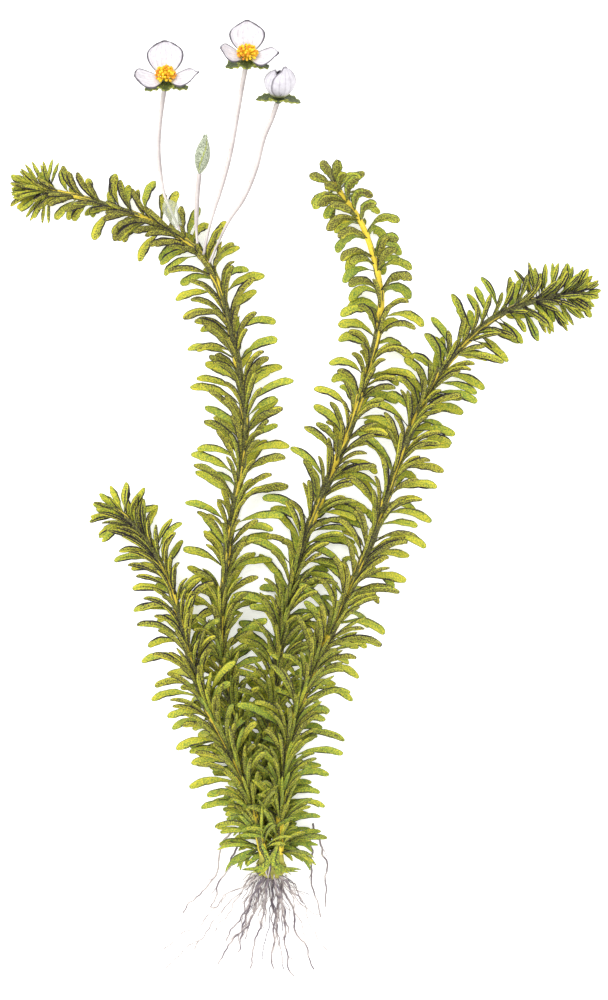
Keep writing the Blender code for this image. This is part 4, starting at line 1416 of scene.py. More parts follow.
    def stem(self) -> Draft:
        """Builds the stem, from inside the crown to the tip, with a slight swelling at each whorl.

        Returns:
            The stem's mesh in the making.
        """
        centres, radii, tones = [], [], []
        whorls = np.array(self.whorls())
        for distance in np.arange(self.stem_foot, self.length, self.stem_step):
            reached = max(distance, 0.0)
            place, along, _, _ = self.at(reached)
            centres.append(place + along * min(distance, 0.0))
            near = math.exp(-((np.abs(whorls - distance).min() / 0.8) ** 2))
            bare = self.grown("bare", reached)
            slim = 1 - 0.12 * float(smoothstep(0.4, 0.9, bare))
            radii.append(self.radius(reached) * (0.84 + self.swelling * near) * slim)
            ring = []
            for turn in np.arange(self.stem_sides) * math.tau / self.stem_sides:
                spot = level(turn) * 2.0 + UP * (distance / self.streak_length + len(self.route) * 7)
                streak = noise.noise(Vector(spot))
                ring.append(float(smoothstep(bare - 0.08, bare + 0.12, 0.5 + 0.85 * streak)))
            tones.append(ring)
        radii[-1] *= 0.3
        draft = Draft()
        draft.tube(np.array(centres), np.array(radii), self.stem_sides, tone=np.array(tones))
        return draft

    def build(self, around: Surroundings) -> None:
        """Builds the stem and the leaves in place of the solid.

        Args:
            around: what the leaves give way to.
        """
        self.around = around
        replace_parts(self.stem().finished(f"{self.label}_stem", StemSkin()), self.node)
        draft = Draft()
        leaves = [*self.whorl_leaves(), *self.between_leaves(), *self.tip_leaves(), *self.front_leaves()]
        leaves += [*self.skirt_leaves(), *self.tangle_leaves(), *self.apron_leaves()]
        for leaf in leaves:
            leaf.add_to(draft, self.shape)
        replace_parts(draft.finished(f"{self.label}_leaves", LeafBlade()), self.node)
        log.info("%s: %d leaves", self.label, len(leaves))


SHOOTS = [
    Shoot(
        "shoot_left_arching",
        "arching_shoot",
        [
            (-11.6, -110.6, 6.3), (-12.4, -103.0, 6.4), (-14.0, -93.0, 6.5), (-17.0, -81.0, 6.6),
            (-21.0, -68.5, 6.6), (-24.2, -55.0, 6.6), (-25.0, -37.0, 6.7), (-24.0, -24.5, 6.7),
            (-22.8, -12.0, 6.7), (-20.5, 0.5, 6.7), (-18.7, 13.0, 6.7), (-17.8, 25.0, 6.7),
            (-19.2, 36.5, 6.8), (-21.2, 48.5, 7.0), (-23.8, 59.5, 7.2), (-27.0, 69.0, 7.4),
            (-31.5, 76.3, 7.4), (-38.5, 82.3, 7.2), (-47.5, 87.3, 7.0), (-58.5, 91.2, 6.8),
            (-69.5, 94.6, 6.6), (-80.5, 96.6, 6.4), (-87.6, 97.0, 6.3),
        ],
        Growth(
            gap=(6.4, 7.6, 7.6, 7.2, 6.9, 6.0, 3.0),
            length=(12.0, 15.0, 15.5, 15.5, 13.0, 10.5, 7.0),
            angle=(76, 72, 66, 62, 68, 70, 34),
            turn=(10, 8, 8, 8, 26, 18, 0),
            fill=(0.9, 0.7, 0.45, 0.4, 0.4, 0.7, 0.4),
            cover=(1.0, 1.0, 1.0, 0.95, 0.8, 0.75, 0.5),
            bare=(0.55, 0.4, 0.34, 0.36, 0.36, 0.38, 0.28),
            width=(0.62, 0.86, 0.96, 1.0, 1.06, 1.08, 0.6),
            green=(0.5, 0.45, 0.25, 0.2, 0.2, 0.25, 0.1),
            ink=(0.0, 0.0, 0.05, 0.15, 0.25, 0.4, 0.3),
            tone=(0.14, 0.2, 0.32, 0.4, 0.5, 0.68, 0.46),
        ),
        Tip.NEEDLES,
        tangle=86,
        tangle_reach=78.0,
        tip_droop=0.08,
    ),
    Shoot(
        "shoot_middle",
        "middle_shoot",
        [
            (-7.6, -110.6, 6.3), (-8.2, -103.0, 6.4), (-9.2, -93.0, 6.5), (-9.4, -75.0, 6.6),
            (-8.4, -62.0, 6.6), (-7.4, -49.5, 6.7), (-5.6, -37.0, 6.7), (-2.5, -24.5, 6.7),
            (0.9, -12.0, 6.7), (5.2, -1.0, 6.7), (9.7, 9.5, 6.7), (14.0, 20.0, 6.7),
            (17.5, 30.0, 6.7), (20.8, 41.0, 6.7), (23.6, 52.0, 6.7), (24.7, 62.5, 6.8),
            (23.2, 72.5, 7.0), (20.6, 81.5, 7.2), (17.2, 88.8, 7.4), (13.4, 94.0, 7.4),
            (9.4, 99.4, 7.4),
        ],
        Growth(
            gap=(6.4, 7.6, 7.6, 7.0, 6.6, 6.2, 3.4),
            length=(12.0, 15.0, 15.5, 14.5, 13.5, 11.5, 8.0),
            angle=(72, 70, 68, 66, 68, 70, 62),
            turn=(10, 8, 10, 14, 46, 78, 64),
            fill=(0.9, 0.8, 0.5, 0.4, 0.3, 0.1, 0.0),
            cover=(1.0, 1.0, 1.0, 0.9, 0.5, 0.15, 0.1),
            bare=(0.55, 0.4, 0.32, 0.34, 0.54, 0.9, 0.7),
            width=(0.62, 0.86, 0.96, 1.0, 1.05, 1.12, 1.16),
            green=(0.6, 0.65, 0.4, 0.2, 0.2, 0.5, 0.6),
            ink=(0.0, 0.0, 0.1, 0.35, 0.3, -0.3, -0.6),
            tone=(0.18, 0.24, 0.34, 0.42, 0.42, 0.5, 0.66),
        ),
        Tip.SPOONS,
        tangle=104,
        tangle_reach=82.0,
        tip_droop=0.4,
    ),
    Shoot(
        "shoot_right",
        "right_shoot",
        [
            (-7.3, -110.6, 10.9), (-7.0, -103.0, 12.2), (-6.4, -92.0, 13.4), (-4.8, -79.5, 13.8),
            (-2.6, -70.0, 13.7), (0.4, -60.5, 13.4), (4.2, -51.0, 12.8), (8.7, -42.0, 12.0),
            (12.8, -32.5, 11.0), (17.2, -23.0, 9.8), (21.2, -13.7, 8.7), (24.5, -4.4, 7.8),
            (27.8, 5.0, 7.1), (31.2, 14.5, 6.8), (34.8, 24.0, 6.7), (39.4, 33.0, 6.7),
            (44.8, 42.0, 6.7), (52.0, 50.2, 6.7), (61.0, 57.5, 6.7), (71.2, 61.9, 6.6),
            (80.5, 63.8, 6.4), (88.4, 65.0, 6.3),
        ],
        Growth(
            gap=(6.4, 7.6, 7.5, 7.1, 6.8, 5.8, 3.0),
            length=(13.0, 16.5, 16.0, 15.0, 14.0, 11.5, 8.0),
            angle=(72, 70, 66, 64, 68, 90, 78),
            turn=(10, 12, 16, 20, 14, -16, -20),
            fill=(0.9, 0.8, 0.5, 0.45, 0.6, 1.0, 0.8),
            cover=(1.0, 1.0, 1.0, 0.95, 0.8, 0.35, 0.2),
            bare=(0.58, 0.38, 0.34, 0.36, 0.36, 0.26, 0.12),
            width=(0.62, 0.84, 0.96, 1.0, 0.98, 0.92, 0.74),
            green=(0.5, 0.45, 0.25, 0.2, 0.25, 0.3, 0.2),
            ink=(0.0, 0.1, 0.1, 0.2, 0.4, 1.0, 1.1),
            tone=(0.2, 0.3, 0.4, 0.4, 0.38, 0.28, 0.22),
        ),
        Tip.SPRAY,
        tangle=58,
        tangle_reach=74.0,
        tip_droop=0.0,
    ),
    Shoot(
        "shoot_left_short",
        "short_shoot",
        [
            (-12.0, -110.6, 10.9), (-13.8, -102.0, 12.4), (-17.2, -91.0, 13.6), (-21.8, -80.0, 14.0),
            (-26.8, -70.3, 13.7), (-30.6, -62.0, 13.0), (-33.5, -53.0, 12.0), (-36.2, -44.5, 10.9),
            (-38.5, -35.5, 9.7), (-41.6, -25.8, 8.6), (-46.0, -17.0, 7.6), (-51.2, -9.5, 7.0),
            (-56.0, -4.6, 6.7), (-59.2, -2.2, 6.6),
        ],
        Growth(
            gap=(6.4, 7.4, 7.2, 6.9, 6.3, 5.4, 3.4),
            length=(13.0, 16.0, 15.0, 14.0, 13.0, 12.0, 9.0),
            angle=(72, 68, 64, 60, 58, 54, 34),
            turn=(10, 12, 14, 18, 18, 14, 6),
            fill=(0.9, 0.85, 0.7, 0.7, 0.8, 0.8, 0.4),
            cover=(1.0, 1.0, 1.0, 0.9, 0.95, 1.0, 0.7),
            bare=(0.58, 0.42, 0.36, 0.34, 0.3, 0.24, 0.2),
            width=(0.62, 0.86, 0.96, 0.95, 0.9, 0.85, 0.8),
            green=(0.5, 0.35, 0.2, 0.15, 0.15, 0.2, 0.15),
            ink=(0.0, 0.0, 0.1, 0.4, 0.85, 1.0, 0.9),
            tone=(0.18, 0.24, 0.32, 0.36, 0.34, 0.28, 0.24),
        ),
        Tip.STAR,
        tangle=34,
        tip_droop=0.14,
    ),
]
@dataclass
class Crown:
    """The knot of old stem between shoots and roots."""

    middle: Triple = (-9.7, -114.6, 8.4)
    radii: Triple = (4.8, 3.6, 4.6)
    neck_steps: tuple = (-2.4, -1.4, -0.5, 0.4, 1.0)
    neck_radii: tuple = (1.8, 1.75, 1.6, 1.45, 1.3)

    def build(self) -> None:
        """Builds the knot with a neck under each stem."""
        draft = Draft()
        draft.ball(np.array(self.middle), np.diag(np.array(self.radii) * 0.98), 28, 36, 0.22)
        for shoot in SHOOTS:
            line = np.array([shoot.points[0] + shoot.directions[0] * step for step in self.neck_steps])
            draft.tube(line, np.array(self.neck_radii), 14)
        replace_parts(draft.finished("crown_knot", CrownTissue()), "crown")


@dataclass(frozen=True)
class YoungRoots:
    """A kind of short young root, and how it grows."""

    name: str
    count: int
    points: int
    kink: float
    radius: tuple[float, float]
    shade: tuple[float, float]  # from violet at 0 to pale at 1


@dataclass
class Roots:
    """Long roots in place of the solid ones, and the fine ones that grow among them."""

    crown: Crown
    ends: tuple = (
        (-44.5, -142.0), (-43.0, -147.5), (-24.0, -138.5), (-26.0, -146.0), (-20.6, -142.0), (-16.2, -147.3),
        (-8.8, -147.3), (-2.8, -149.8), (-3.8, -136.0), (4.0, -147.5), (12.8, -148.5), (0.8, -126.0),
    )
    side_roots: tuple = (
        ((-21, -103, 1.6), (-25.6, -108.5, 0.9), (-26.2, -115, 0.5), (-29.5, -121, 0.5), (-38, -129.5, 0.5)),
        ((-20.4, -109, 1.6), (-22.4, -113, 0.7), (-24.4, -117.4, 0.5), (-26.2, -122, 0.5), (-28.8, -128, 0.5)),
        ((1.2, -103.5, 1.6), (3.2, -110, 0.8), (3, -117.6, 0.5), (3.8, -124, 0.5), (6.2, -131, 0.5)),
        ((3.4, -101.5, 1.6), (5.8, -108, 0.8), (7.2, -114.5, 0.5), (7.4, -121.5, 0.5), (7.8, -128, 0.5)),
    )
    radius: float = 0.45
    pale_share: float = 0.5  # of the solid's radius, for the pale roots
    dark_share: float = 0.76  # and for the others
    kink: float = 1.3
    count: int = 56
    wave: float = 0.9
    points: int = 7
    touching_gap: float = 0.3
    pale: tuple = (1, 2, 11)
    branch_count: int = 2
    young: tuple = (
        YoungRoots("fine", 22, 26, 1.8, (0.12, 0.2), (-0.1, 0.8)),
        YoungRoots("strand", 15, 34, 1.6, (0.18, 0.3), (-0.1, 0.7)),
        YoungRoots("mantle", 13, 40, 1.0, (0.12, 0.22), (-0.3, 0.7)),
    )

    def __post_init__(self) -> None:
        """Reads where the crown is."""
        self.middle, self.reaches = np.array(self.crown.middle), np.array(self.crown.radii)

    def crown_route(self, number: int, end: tuple[float, float]) -> list[np.ndarray]:
        """Runs a root from the crown down to the table and out, as the solid's.

        Args:
            number: of the root.
            end: where it ends on the table.

        Returns:
            Places along it.
        """
        target = np.array([*end, self.radius * 0.6])
        heading = unit((target - self.middle) * (1, 1, 0))
        slope, reach = ((-0.5, 8.0), (0.1, 12.0), (0.6, 17.0))[number % 3]
        out = heading * math.cos(slope) + (0, 0, math.sin(slope))
        start = self.middle + out * (self.reaches + self.radius + self.touching_gap)
        side = np.cross(heading, (0, 0, 1))
        span = float(np.linalg.norm((target - start)[:2]))
        phase = 0.35 * number
        line = []
        for share in np.linspace(0.0, 1.0, self.points):
            place = start * (1 - share) + target * share
            wave = self.wave * math.sin(phase + share * math.tau * 1.1) * math.sin(math.pi * share)
            drop = min(share * span / reach, 1.0)
            place = place + side * wave
            place[2] = start[2] + (target[2] - start[2]) * (3 * drop**2 - 2 * drop**3)
            line.append(place)
        return line

    def routes(self) -> list[Sequence]:
        """Runs all long roots.

        Returns:
            Their places, in the order of the solids' numbers.
        """
        found = [self.crown_route(number, end) for number, end in enumerate(self.ends)]
        return found + [list(Route(route).spread(self.points)[0]) for route in self.side_roots]

    def wavy(
        self, route: Sequence, seed: str, count: int, size: float, radius: float
    ) -> tuple[np.ndarray, np.ndarray]:
        """A route with small natural kinks, and its radii.

        Args:
            route: places along it.
            seed: of its kinks.
            count: how many points to give.
            size: how far a kink goes.
            radius: at its start; it thins to its tip.

        Returns:
            The points and the radius at each.
        """
        line, directions, length = Route(route).spread(count)
        start = random.Random(seed).uniform(0, 100)
        share = np.linspace(0.0, 1.0, count)
        sides = np.cross(directions, UP)
        kinks = np.array([noise.noise(Vector((start + s * length / 6.0, 0.0, 0.0))) for s in share])
        kinks += 0.35 * np.array([noise.noise(Vector((start + s * length / 2.0, 5.0, 0.0))) for s in share])
        line = line + sides * (size * kinks * np.sin(np.pi * np.minimum(share * 3, 0.5)))[:, None]
        radii = radius * (1 - 0.4 * share)
        line[:, 2] = np.maximum(line[:, 2], radii + 0.05)
        return line, radii

    def build(self) -> np.ndarray:
        """Builds every root.

        Returns:
            Points along the long roots, which leaves keep clear of.
        """
        routes = self.routes()
        fine = Draft()
        for number, route in enumerate(routes, 1):
            pale, from_stem = number in self.pale, number > len(self.ends)
            radius = self.radius * (self.pale_share if pale else self.dark_share)
            line, radii = self.wavy(route, f"root {number}", self.count, self.kink, radius)
            if not from_stem:
                inward = line[0] + unit(self.middle - line[0]) * 1.0
                line, radii = np.vstack([inward, line]), np.concatenate([[radii[0]], radii])
            draft = Draft()
            draft.tube(line, radii, 8, (0.5 if pale else 0.25 if from_stem else 0.1, 0.0, 0.0))
            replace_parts(draft.finished(f"long_root_{number:02d}", RootSkin()), f"root_{number:02d}")
            self.add_branches(fine, line, number)
        self.add_young(fine)
        fine.finished("fine_roots", RootSkin())
        return np.concatenate([Route(route).spread(40)[0] for route in routes])

    def add_branches(self, fine: Draft, line: np.ndarray, number: int) -> None:
        """Adds a long root's few hair-fine branches.

        Args:
            fine: the fine roots' mesh in the making.
            line: points along the long root.
            number: of the long root.
        """
        for branch in range(self.branch_count):
            rng = random.Random(f"branch {number} {branch}")
            start = line[rng.randrange(12, 48)]
            along = unit((line[-1] - start) * (1, 1, 0))
            side = np.array([-along[1], along[0], 0.0]) * rng.choice((-1, 1))
            reach = rng.uniform(3.0, 8.0)
            if np.linalg.norm(line[-1] - start) < reach:
                continue
            halfway = start + (along * 0.75 + side * 0.3) * reach * 0.5
            route = [start, halfway, start + (along * 0.8 + side * 0.38) * reach]
            route = [np.array([p[0], p[1], max(p[2] * (1 - k / 2), 0.2)]) for k, p in enumerate(route)]
            points, radii = self.wavy(route, f"b {number} {branch}", 14, 0.9, 0.16)
            fine.tube(points, radii, 5, (0.55, 0.0, 0.0))

    def fine_route(self, rng: random.Random) -> list[np.ndarray]:
        """Runs a short root from the crown's lower half out over the table.

        Args:
            rng: its turns of chance.

        Returns:
            Places along it.
        """
        turn = math.radians(-90 + rng.uniform(-72, 72))
        slope = rng.uniform(-0.9, 0.5)
        heading = level(turn)
        out = heading * math.cos(slope) + (0, 0, math.sin(slope))
        start = self.middle + out * self.reaches * 0.9
        reach = rng.uniform(6.0, 20.0) * (1 - 0.45 * abs(turn + math.pi / 2))
        end = start + heading * reach
        low = rng.uniform(0.15, 0.5)
        route = [start, start * 0.6 + end * 0.4, start * 0.25 + end * 0.75, end]
        drops = (1.0, 0.45, 0.08, 0.0)
        return [np.array([p[0], p[1], low + (start[2] - low) * d]) for p, d in zip(route, drops)]

    def strand_route(self, rng: random.Random) -> list[np.ndarray]:
        """Runs a thicker strand from the crown's underside straight out over the table.

        Args:
            rng: its turns of chance.

        Returns:
            Places along it.
        """
        start = self.middle + (rng.uniform(-5.2, 5.2), -2.4 - rng.uniform(0.0, 0.8), rng.uniform(-4.0, 1.0))
        turn = math.radians(-90 + rng.uniform(-24, 24)) + (start[0] - self.middle[0]) * 0.05
        heading = level(turn)
        reach = rng.uniform(12.0, 31.0)
        low = rng.uniform(0.15, 0.5)
        steps = ((0.0, 1.0), (0.2, 0.5), (0.4, 0.12), (0.7, 0.0), (1.0, 0.0))
        return [np.array([*(start + heading * reach * a)[:2], low + (start[2] - low) * d]) for a, d in steps]

    def mantle_route(self, rng: random.Random) -> list[np.ndarray]:
        """Runs a root over the crown's own skin and out over the table.

        Args:
            rng: its turns of chance.

        Returns:
            Places along it.
        """
        aside = rng.uniform(-0.92, 0.92)
        rest = math.sqrt(1 - aside * aside)
        route = []
        for slope in np.radians(np.linspace(rng.uniform(-35, 40), 112, 6)):
            out = np.array([aside, -rest * math.sin(slope), rest * math.cos(slope)])
            route.append(self.middle + out * (self.reaches + 0.25))
        reach = rng.uniform(3.0, 14.0)
        turn = math.radians(-90 + aside * 40 + rng.uniform(-12, 12))
        end = route[-1] + level(turn) * reach
        return route + [np.array([*(route[-1] * 0.5 + end * 0.5)[:2], 0.8]), np.array([*end[:2], 0.2])]

    def add_young(self, fine: Draft) -> None:
        """Adds the tangle of short young roots close to the crown.

        Args:
            fine: the fine roots' mesh in the making.
        """
        runs = {"fine": self.fine_route, "strand": self.strand_route, "mantle": self.mantle_route}
        for kind in self.young:
            for number in range(kind.count):
                rng = random.Random(f"{kind.name} {number}")
                route, seed = runs[kind.name](rng), f"{kind.name[0]} {number}"
                points, radii = self.wavy(route, seed, kind.points, kind.kink, rng.uniform(*kind.radius))
                fine.tube(points, radii, 6, (rng.uniform(*kind.shade), 0.0, 0.0))


@dataclass
class Stalks:
    """The long pale stalks of the flowers and the bud."""

    routes: tuple = (
        ("flower_stalk_left", (
            (-38.8, 85.7, 11.1), (-41.0, 90.4, 10.2), (-42.9, 95.0, 7.4), (-44.4, 102.0, 2.6),
            (-45.2, 110.0, 0.9), (-44.8, 118.0, 0.9), (-43.8, 125.5, 1.6), (-42.9, 130.1, 4.0),
        )),
        ("bud_stalk", (
            (-32.6, 79.6, 10.6), (-33.0, 84.5, 9.4), (-33.0, 91.0, 4.6), (-32.8, 97.0, 2.4),
            (-32.3, 101.8, 2.6),
        )),
        ("flower_stalk_middle", (
            (-30.4, 78.0, 10.8), (-29.4, 83.0, 9.8), (-28.2, 88.0, 7.0), (-25.6, 97.0, 2.2),
            (-22.8, 108.0, 0.85), (-20.6, 120.0, 0.9), (-18.7, 131.0, 1.4), (-17.4, 136.9, 4.0),
        )),
        ("flower_stalk_right", (
            (-28.2, 75.4, 10.8), (-25.6, 81.5, 9.6), (-23.0, 87.0, 6.6), (-18.4, 94.5, 2.4),
            (-14.6, 104.0, 0.85), (-11.8, 114.5, 0.9), (-9.5, 119.8, 1.5), (-7.8, 124.5, 2.9),
        )),
    )
    radius: float = 0.8
    count: int = 70

    def build(self) -> np.ndarray:
        """Builds the stalks.

        Returns:
            Points along them, which leaves keep clear of.
        """
        share = np.linspace(0.0, 1.0, self.count)
        radii = self.radius * (0.5 + 0.46 * smoothstep(0.05, 0.6, share))
        with_ends = np.concatenate([[radii[0]], radii, [radii[-1]]])
        for name, route in self.routes:
            line, directions, _ = Route(route).spread(self.count)
            line[:, 2] = np.maximum(line[:, 2], radii + 0.05)
            line = np.vstack([line[0] - directions[0] * 1.6, line, line[-1] + directions[-1] * 0.5])
            draft = Draft()
            draft.tube(line, with_ends, 14)
            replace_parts(draft.finished(f"{name}_pale", StalkSkin()), name)
        return np.concatenate([Route(route).spread(60)[0] for _, route in self.routes])


@dataclass
class Petal:
    """One petal: its facing round the flower, its size, and how steeply it stands."""

    facing: float
    length: float
    width: float
    cup: float
    point: float = 0.0  # 0 for a round end, 1 for a sharp one
    closed: float = 0.0  # half the turn that it wraps round a closed flower, or 0 for an open one


@dataclass
class Flower:
    """A three-petalled flower that lies on its back petal and its sepals."""

    node: str
    foot: Triple
    tilt: float
    sway: float
    petals: dict[str, Petal]
    stamens: bool = True
    petal_room: float = 1.6
    petal_lift: float = 0.8
    petal_thickness: float = 0.3
    sepal_length: float = 6.4
    sepal_width: float = 5.6
    sepals: tuple = ((-90, -0.3), (-16, 0.3), (196, 0.3))  # facing, and how far each falls
    stamen_rows: tuple = (  # how many, their height on the column, their lean and their length
        (16, 1.7, 80, 3.3),
        (14, 2.0, 60, 3.1),
        (10, 2.2, 42, 2.8),
        (6, 2.4, 22, 2.4),
        (1, 2.5, 3, 2.3),
    )

    def placed(self) -> Matrix:
        """Turns and moves the flower from its own axes to the plant.

        Returns:
            The matrix that does so.
        """
        lift = Matrix.Rotation(-math.radians(90 - self.tilt), 4, "X")
        return Matrix.Translation(Vector(self.foot)) @ Matrix.Rotation(math.radians(self.sway), 4, "Z") @ lift

    def moved(self, points: np.ndarray, turn: float = 0.0) -> np.ndarray:
        """Places points of the flower on the plant.

        Args:
            points: in the flower's own axes.
            turn: about the flower's axis, in degrees.

        Returns:
            Their places, in an array of the same shape.
        """
        matrix = np.array(self.placed() @ Matrix.Rotation(math.radians(turn), 4, "Z"))
        flat = points.reshape(-1, 3) @ matrix[:3, :3].T + matrix[:3, 3]
        return flat.reshape(points.shape)

    def petal_grid(self, petal: Petal, seed: float, rows: int = 22, columns: int = 19) -> np.ndarray:
        """The middle surface of an open petal, with its crinkles.

        Args:
            petal: the petal.
            seed: of its crinkles.
            rows: of points from its foot to its end.
            columns: of points across it.

        Returns:
            The surface in the flower's own axes.
        """
        lean = math.radians(petal.cup)
        steep, flat = math.sin(lean), math.cos(lean)
        grid = np.zeros((rows, columns, 3))
        for r, along in enumerate(np.linspace(0.0, 1.0, rows)):
            outline = math.sin(math.pi * (0.06 + 0.76 * min(along, 0.86))) ** 0.8
            taper = max((along - 0.6 + 0.2 * petal.point) / (0.4 + 0.2 * petal.point), 0.0)
            end = max(1 - taper ** (2.6 - 1.2 * petal.point), 0.0) ** (0.5 + 0.35 * petal.point)
            bow = 0.10 * math.sin(math.pi * along)
            for c, side in enumerate(np.linspace(-1.0, 1.0, columns)):
                across = side * petal.width / 2 * max(outline * end, 0.05 if along < 0.5 else 0.16)
                reach = along * (1 - 0.045 * side * side * max(along - 0.5, 0.0) * 2)
                out = self.petal_room + petal.length * (reach * flat + bow * steep)
                up = self.petal_lift + petal.length * (reach * steep - bow * flat)
                crinkle = 0.55 * along**2 * noise.noise(Vector((side * 2.1 + seed, along * 2.6, seed * 3.0)))
                crinkle += 0.16 * along**3 * math.sin(side * 9 + seed * 7) * abs(side)
                rise = 0.16 * across**2 / petal.width + crinkle
                grid[r, c] = (across, out - rise * steep, up + rise * flat)
        return grid

    def wrapped_grid(self, petal: Petal, rows: int = 26, columns: int = 25) -> tuple[np.ndarray, np.ndarray]:
        """A petal of a closed flower, wrapped round it like a part of an egg's shell.

        Args:
            petal: its width is the egg's at that petal.
            rows: of points from its foot to its end.
            columns: of points across it.

        Returns:
            Its middle surface in the flower's own axes, and how much each point is on the flower's flank.
        """
        along, across = np.meshgrid(np.linspace(0, 1, rows), np.linspace(-1, 1, columns), indexing="ij")
        outline = 1 - (1 - 0.4 * petal.point) * np.clip((along - 0.62) / 0.38, 0, 1) ** 2.4
        outline *= 0.8 + 0.2 * smoothstep(0.0, 0.3, along)
        turn = across * math.radians(petal.closed) * np.maximum(outline, 0.04)
        radius = petal.width / 2 * np.sin(math.pi * (0.13 + 0.77 * along)) ** 0.85
        radius = radius + 0.12 * np.sin(across * 5 + along * 9) * along
        up = self.petal_lift + petal.length * (along - 0.06 * np.abs(across) ** 3 * along)
        grid = np.stack([radius * np.sin(turn), radius * np.cos(turn), up], axis=2)
        return grid, np.abs(np.sin(turn - math.radians(petal.facing)))

    def build_petals(self) -> None:
        """Builds each petal as its own piece."""
        for number, (side, petal) in enumerate(self.petals.items()):
            draft = Draft()
            if petal.closed:
                grid, flank = self.wrapped_grid(petal)
                drawn = smoothstep(0.95, 0.995, flank)
                tints = np.stack([np.ones_like(flank), drawn, np.zeros_like(flank)], axis=2).reshape(-1, 3)
                tints = np.concatenate([tints, tints])
            else:
                grid, tints = self.petal_grid(petal, number * 1.7 + len(self.node)), (0.0, 0.0, 0.0)
            draft.sheet(self.moved(grid, petal.facing), self.petal_thickness, tints)
            name = f"{self.node}_petal_{side}"
            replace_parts(draft.finished(f"{name}_crinkled", PetalSkin()), name)

    def build_sepals(self) -> None:
        """Builds the receptacle and the sepals that spread from it."""
        draft = Draft()
        heights = np.array([-1.9, -1.5, -1.0, -0.5, 0.0, 0.4, 0.7, 0.9])
        radii = np.array([0.8, 1.05, 1.4, 1.6, 1.55, 1.3, 0.8, 0.3])
        line = np.stack([np.zeros(8), np.zeros(8), heights], axis=1)
        draft.tube(self.moved(line), radii, 16)
        rows, columns = 16, 9
        for facing, fall in self.sepals:
            out = level(math.radians(facing))
            across = np.array([-out[1], out[0], 0.0])
            grid = np.zeros((rows, columns, 3))
            for r, v in enumerate(np.linspace(0.0, 1.0, rows)):
                half = self.sepal_width / 2 * (0.62 + 0.42 * math.sin(math.pi * min(v * 1.1, 1.0)))
                half *= math.sqrt(1 - (0.985 * v) ** 3)
                drop = 0.3 + fall * self.sepal_length * v**1.25
                for c, u in enumerate(np.linspace(-1.0, 1.0, columns)):
                    ragged = 0.4 * math.sin(v * 21 + 3 * u + facing) * abs(u) ** 3
                    boat = 0.35 * u * u * half / 2
                    reach = out * (1.0 + self.sepal_length * 0.94 * v)
                    grid[r, c] = reach + across * (u * half + ragged * u) + np.array([0, 0, boat - drop])
            draft.sheet(self.moved(grid), 0.4)
        name = f"{self.node}_sepals"
        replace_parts(draft.finished(f"{name}_green", SepalSkin()), name)

    def build_stamens(self) -> None:
        """Builds the club-shaped stamens on their short column."""
        draft = Draft()
        column = np.array([(0, 0, 0.6), (0, 0, 1.6), (0, 0, 2.6), (0, 0, 3.2)], float)
        draft.tube(self.moved(column), np.array([1.0, 1.1, 0.9, 0.4]), 12)
        for row, (count, height, lean, length) in enumerate(self.stamen_rows):
            for k in range(count):
                rng = random.Random(f"{self.node} stamen {row} {k}")
                turn = math.tau * (k + 0.5 * row) / count + rng.uniform(-0.15, 0.15)
                slope = math.radians(lean + rng.uniform(-6, 6))
                out = level(turn)
                heading = out * math.sin(slope) + np.array([0, 0, math.cos(slope)])
                foot = np.array([0, 0, height]) + out * 0.5
                reach = length * rng.uniform(0.88, 1.08)
                ends = [foot, foot + heading * reach * 0.5, foot + heading * reach * 0.75]
                draft.tube(self.moved(np.array(ends)), np.array([0.22, 0.2, 0.3]), 7)
                side = np.array([-out[1], out[0], 0.0])
                axes = np.stack([side * 0.42, np.cross(heading, side) * 0.42, heading * 0.5])
                club = self.moved(np.array([foot + heading * reach * 0.8]))[0]
                turned = self.moved(axes) - self.moved(np.zeros((3, 3)))
                draft.ball(club, turned, 9, 12, 0.35, (rng.uniform(0.0, 1.2), 0.0, 0.0))
        name = f"{self.node}_stamens"
        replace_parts(draft.finished(f"{name}_pollen", Pollen()), name)

    def build(self) -> None:
        """Builds the flower."""
        self.build_petals()
        self.build_sepals()
        if self.stamens:
            self.build_stamens()


FLOWERS = [
    Flower(
        "flower_left",
        (-42.6, 131.4, 5.6),
        47,
        2,
        {
            "back": Petal(0, 10.8, 11.6, 46),
            "left": Petal(106, 9.2, 9.6, 24),
            "right": Petal(-106, 10.4, 9.2, 26, 0.9),
        },
    ),
    Flower(
        "flower_middle",
        (-17.2, 138.2, 5.6),
        47,
        0,
        {
            "back": Petal(0, 10.4, 11.4, 46, 0.3),
            "left": Petal(98, 8.2, 8.2, 34, 0.3),
            "right": Petal(-106, 9.6, 9.4, 24, 0.7),
        },
    ),
    Flower(
        "flower_right",
        (-7.4, 126.2, 4.0),
        30,
        -4,
        {
            "back": Petal(0, 7.6, 8.4, 60, 0.5, 76),
            "left": Petal(122, 8.9, 9.4, 60, 0.3, 74),
            "right": Petal(-130, 10.2, 10.0, 60, 0.8, 78),
        },
        stamens=False,
        sepals=((-90, -0.3), (-8, 0.1), (188, 0.1)),
    ),
]


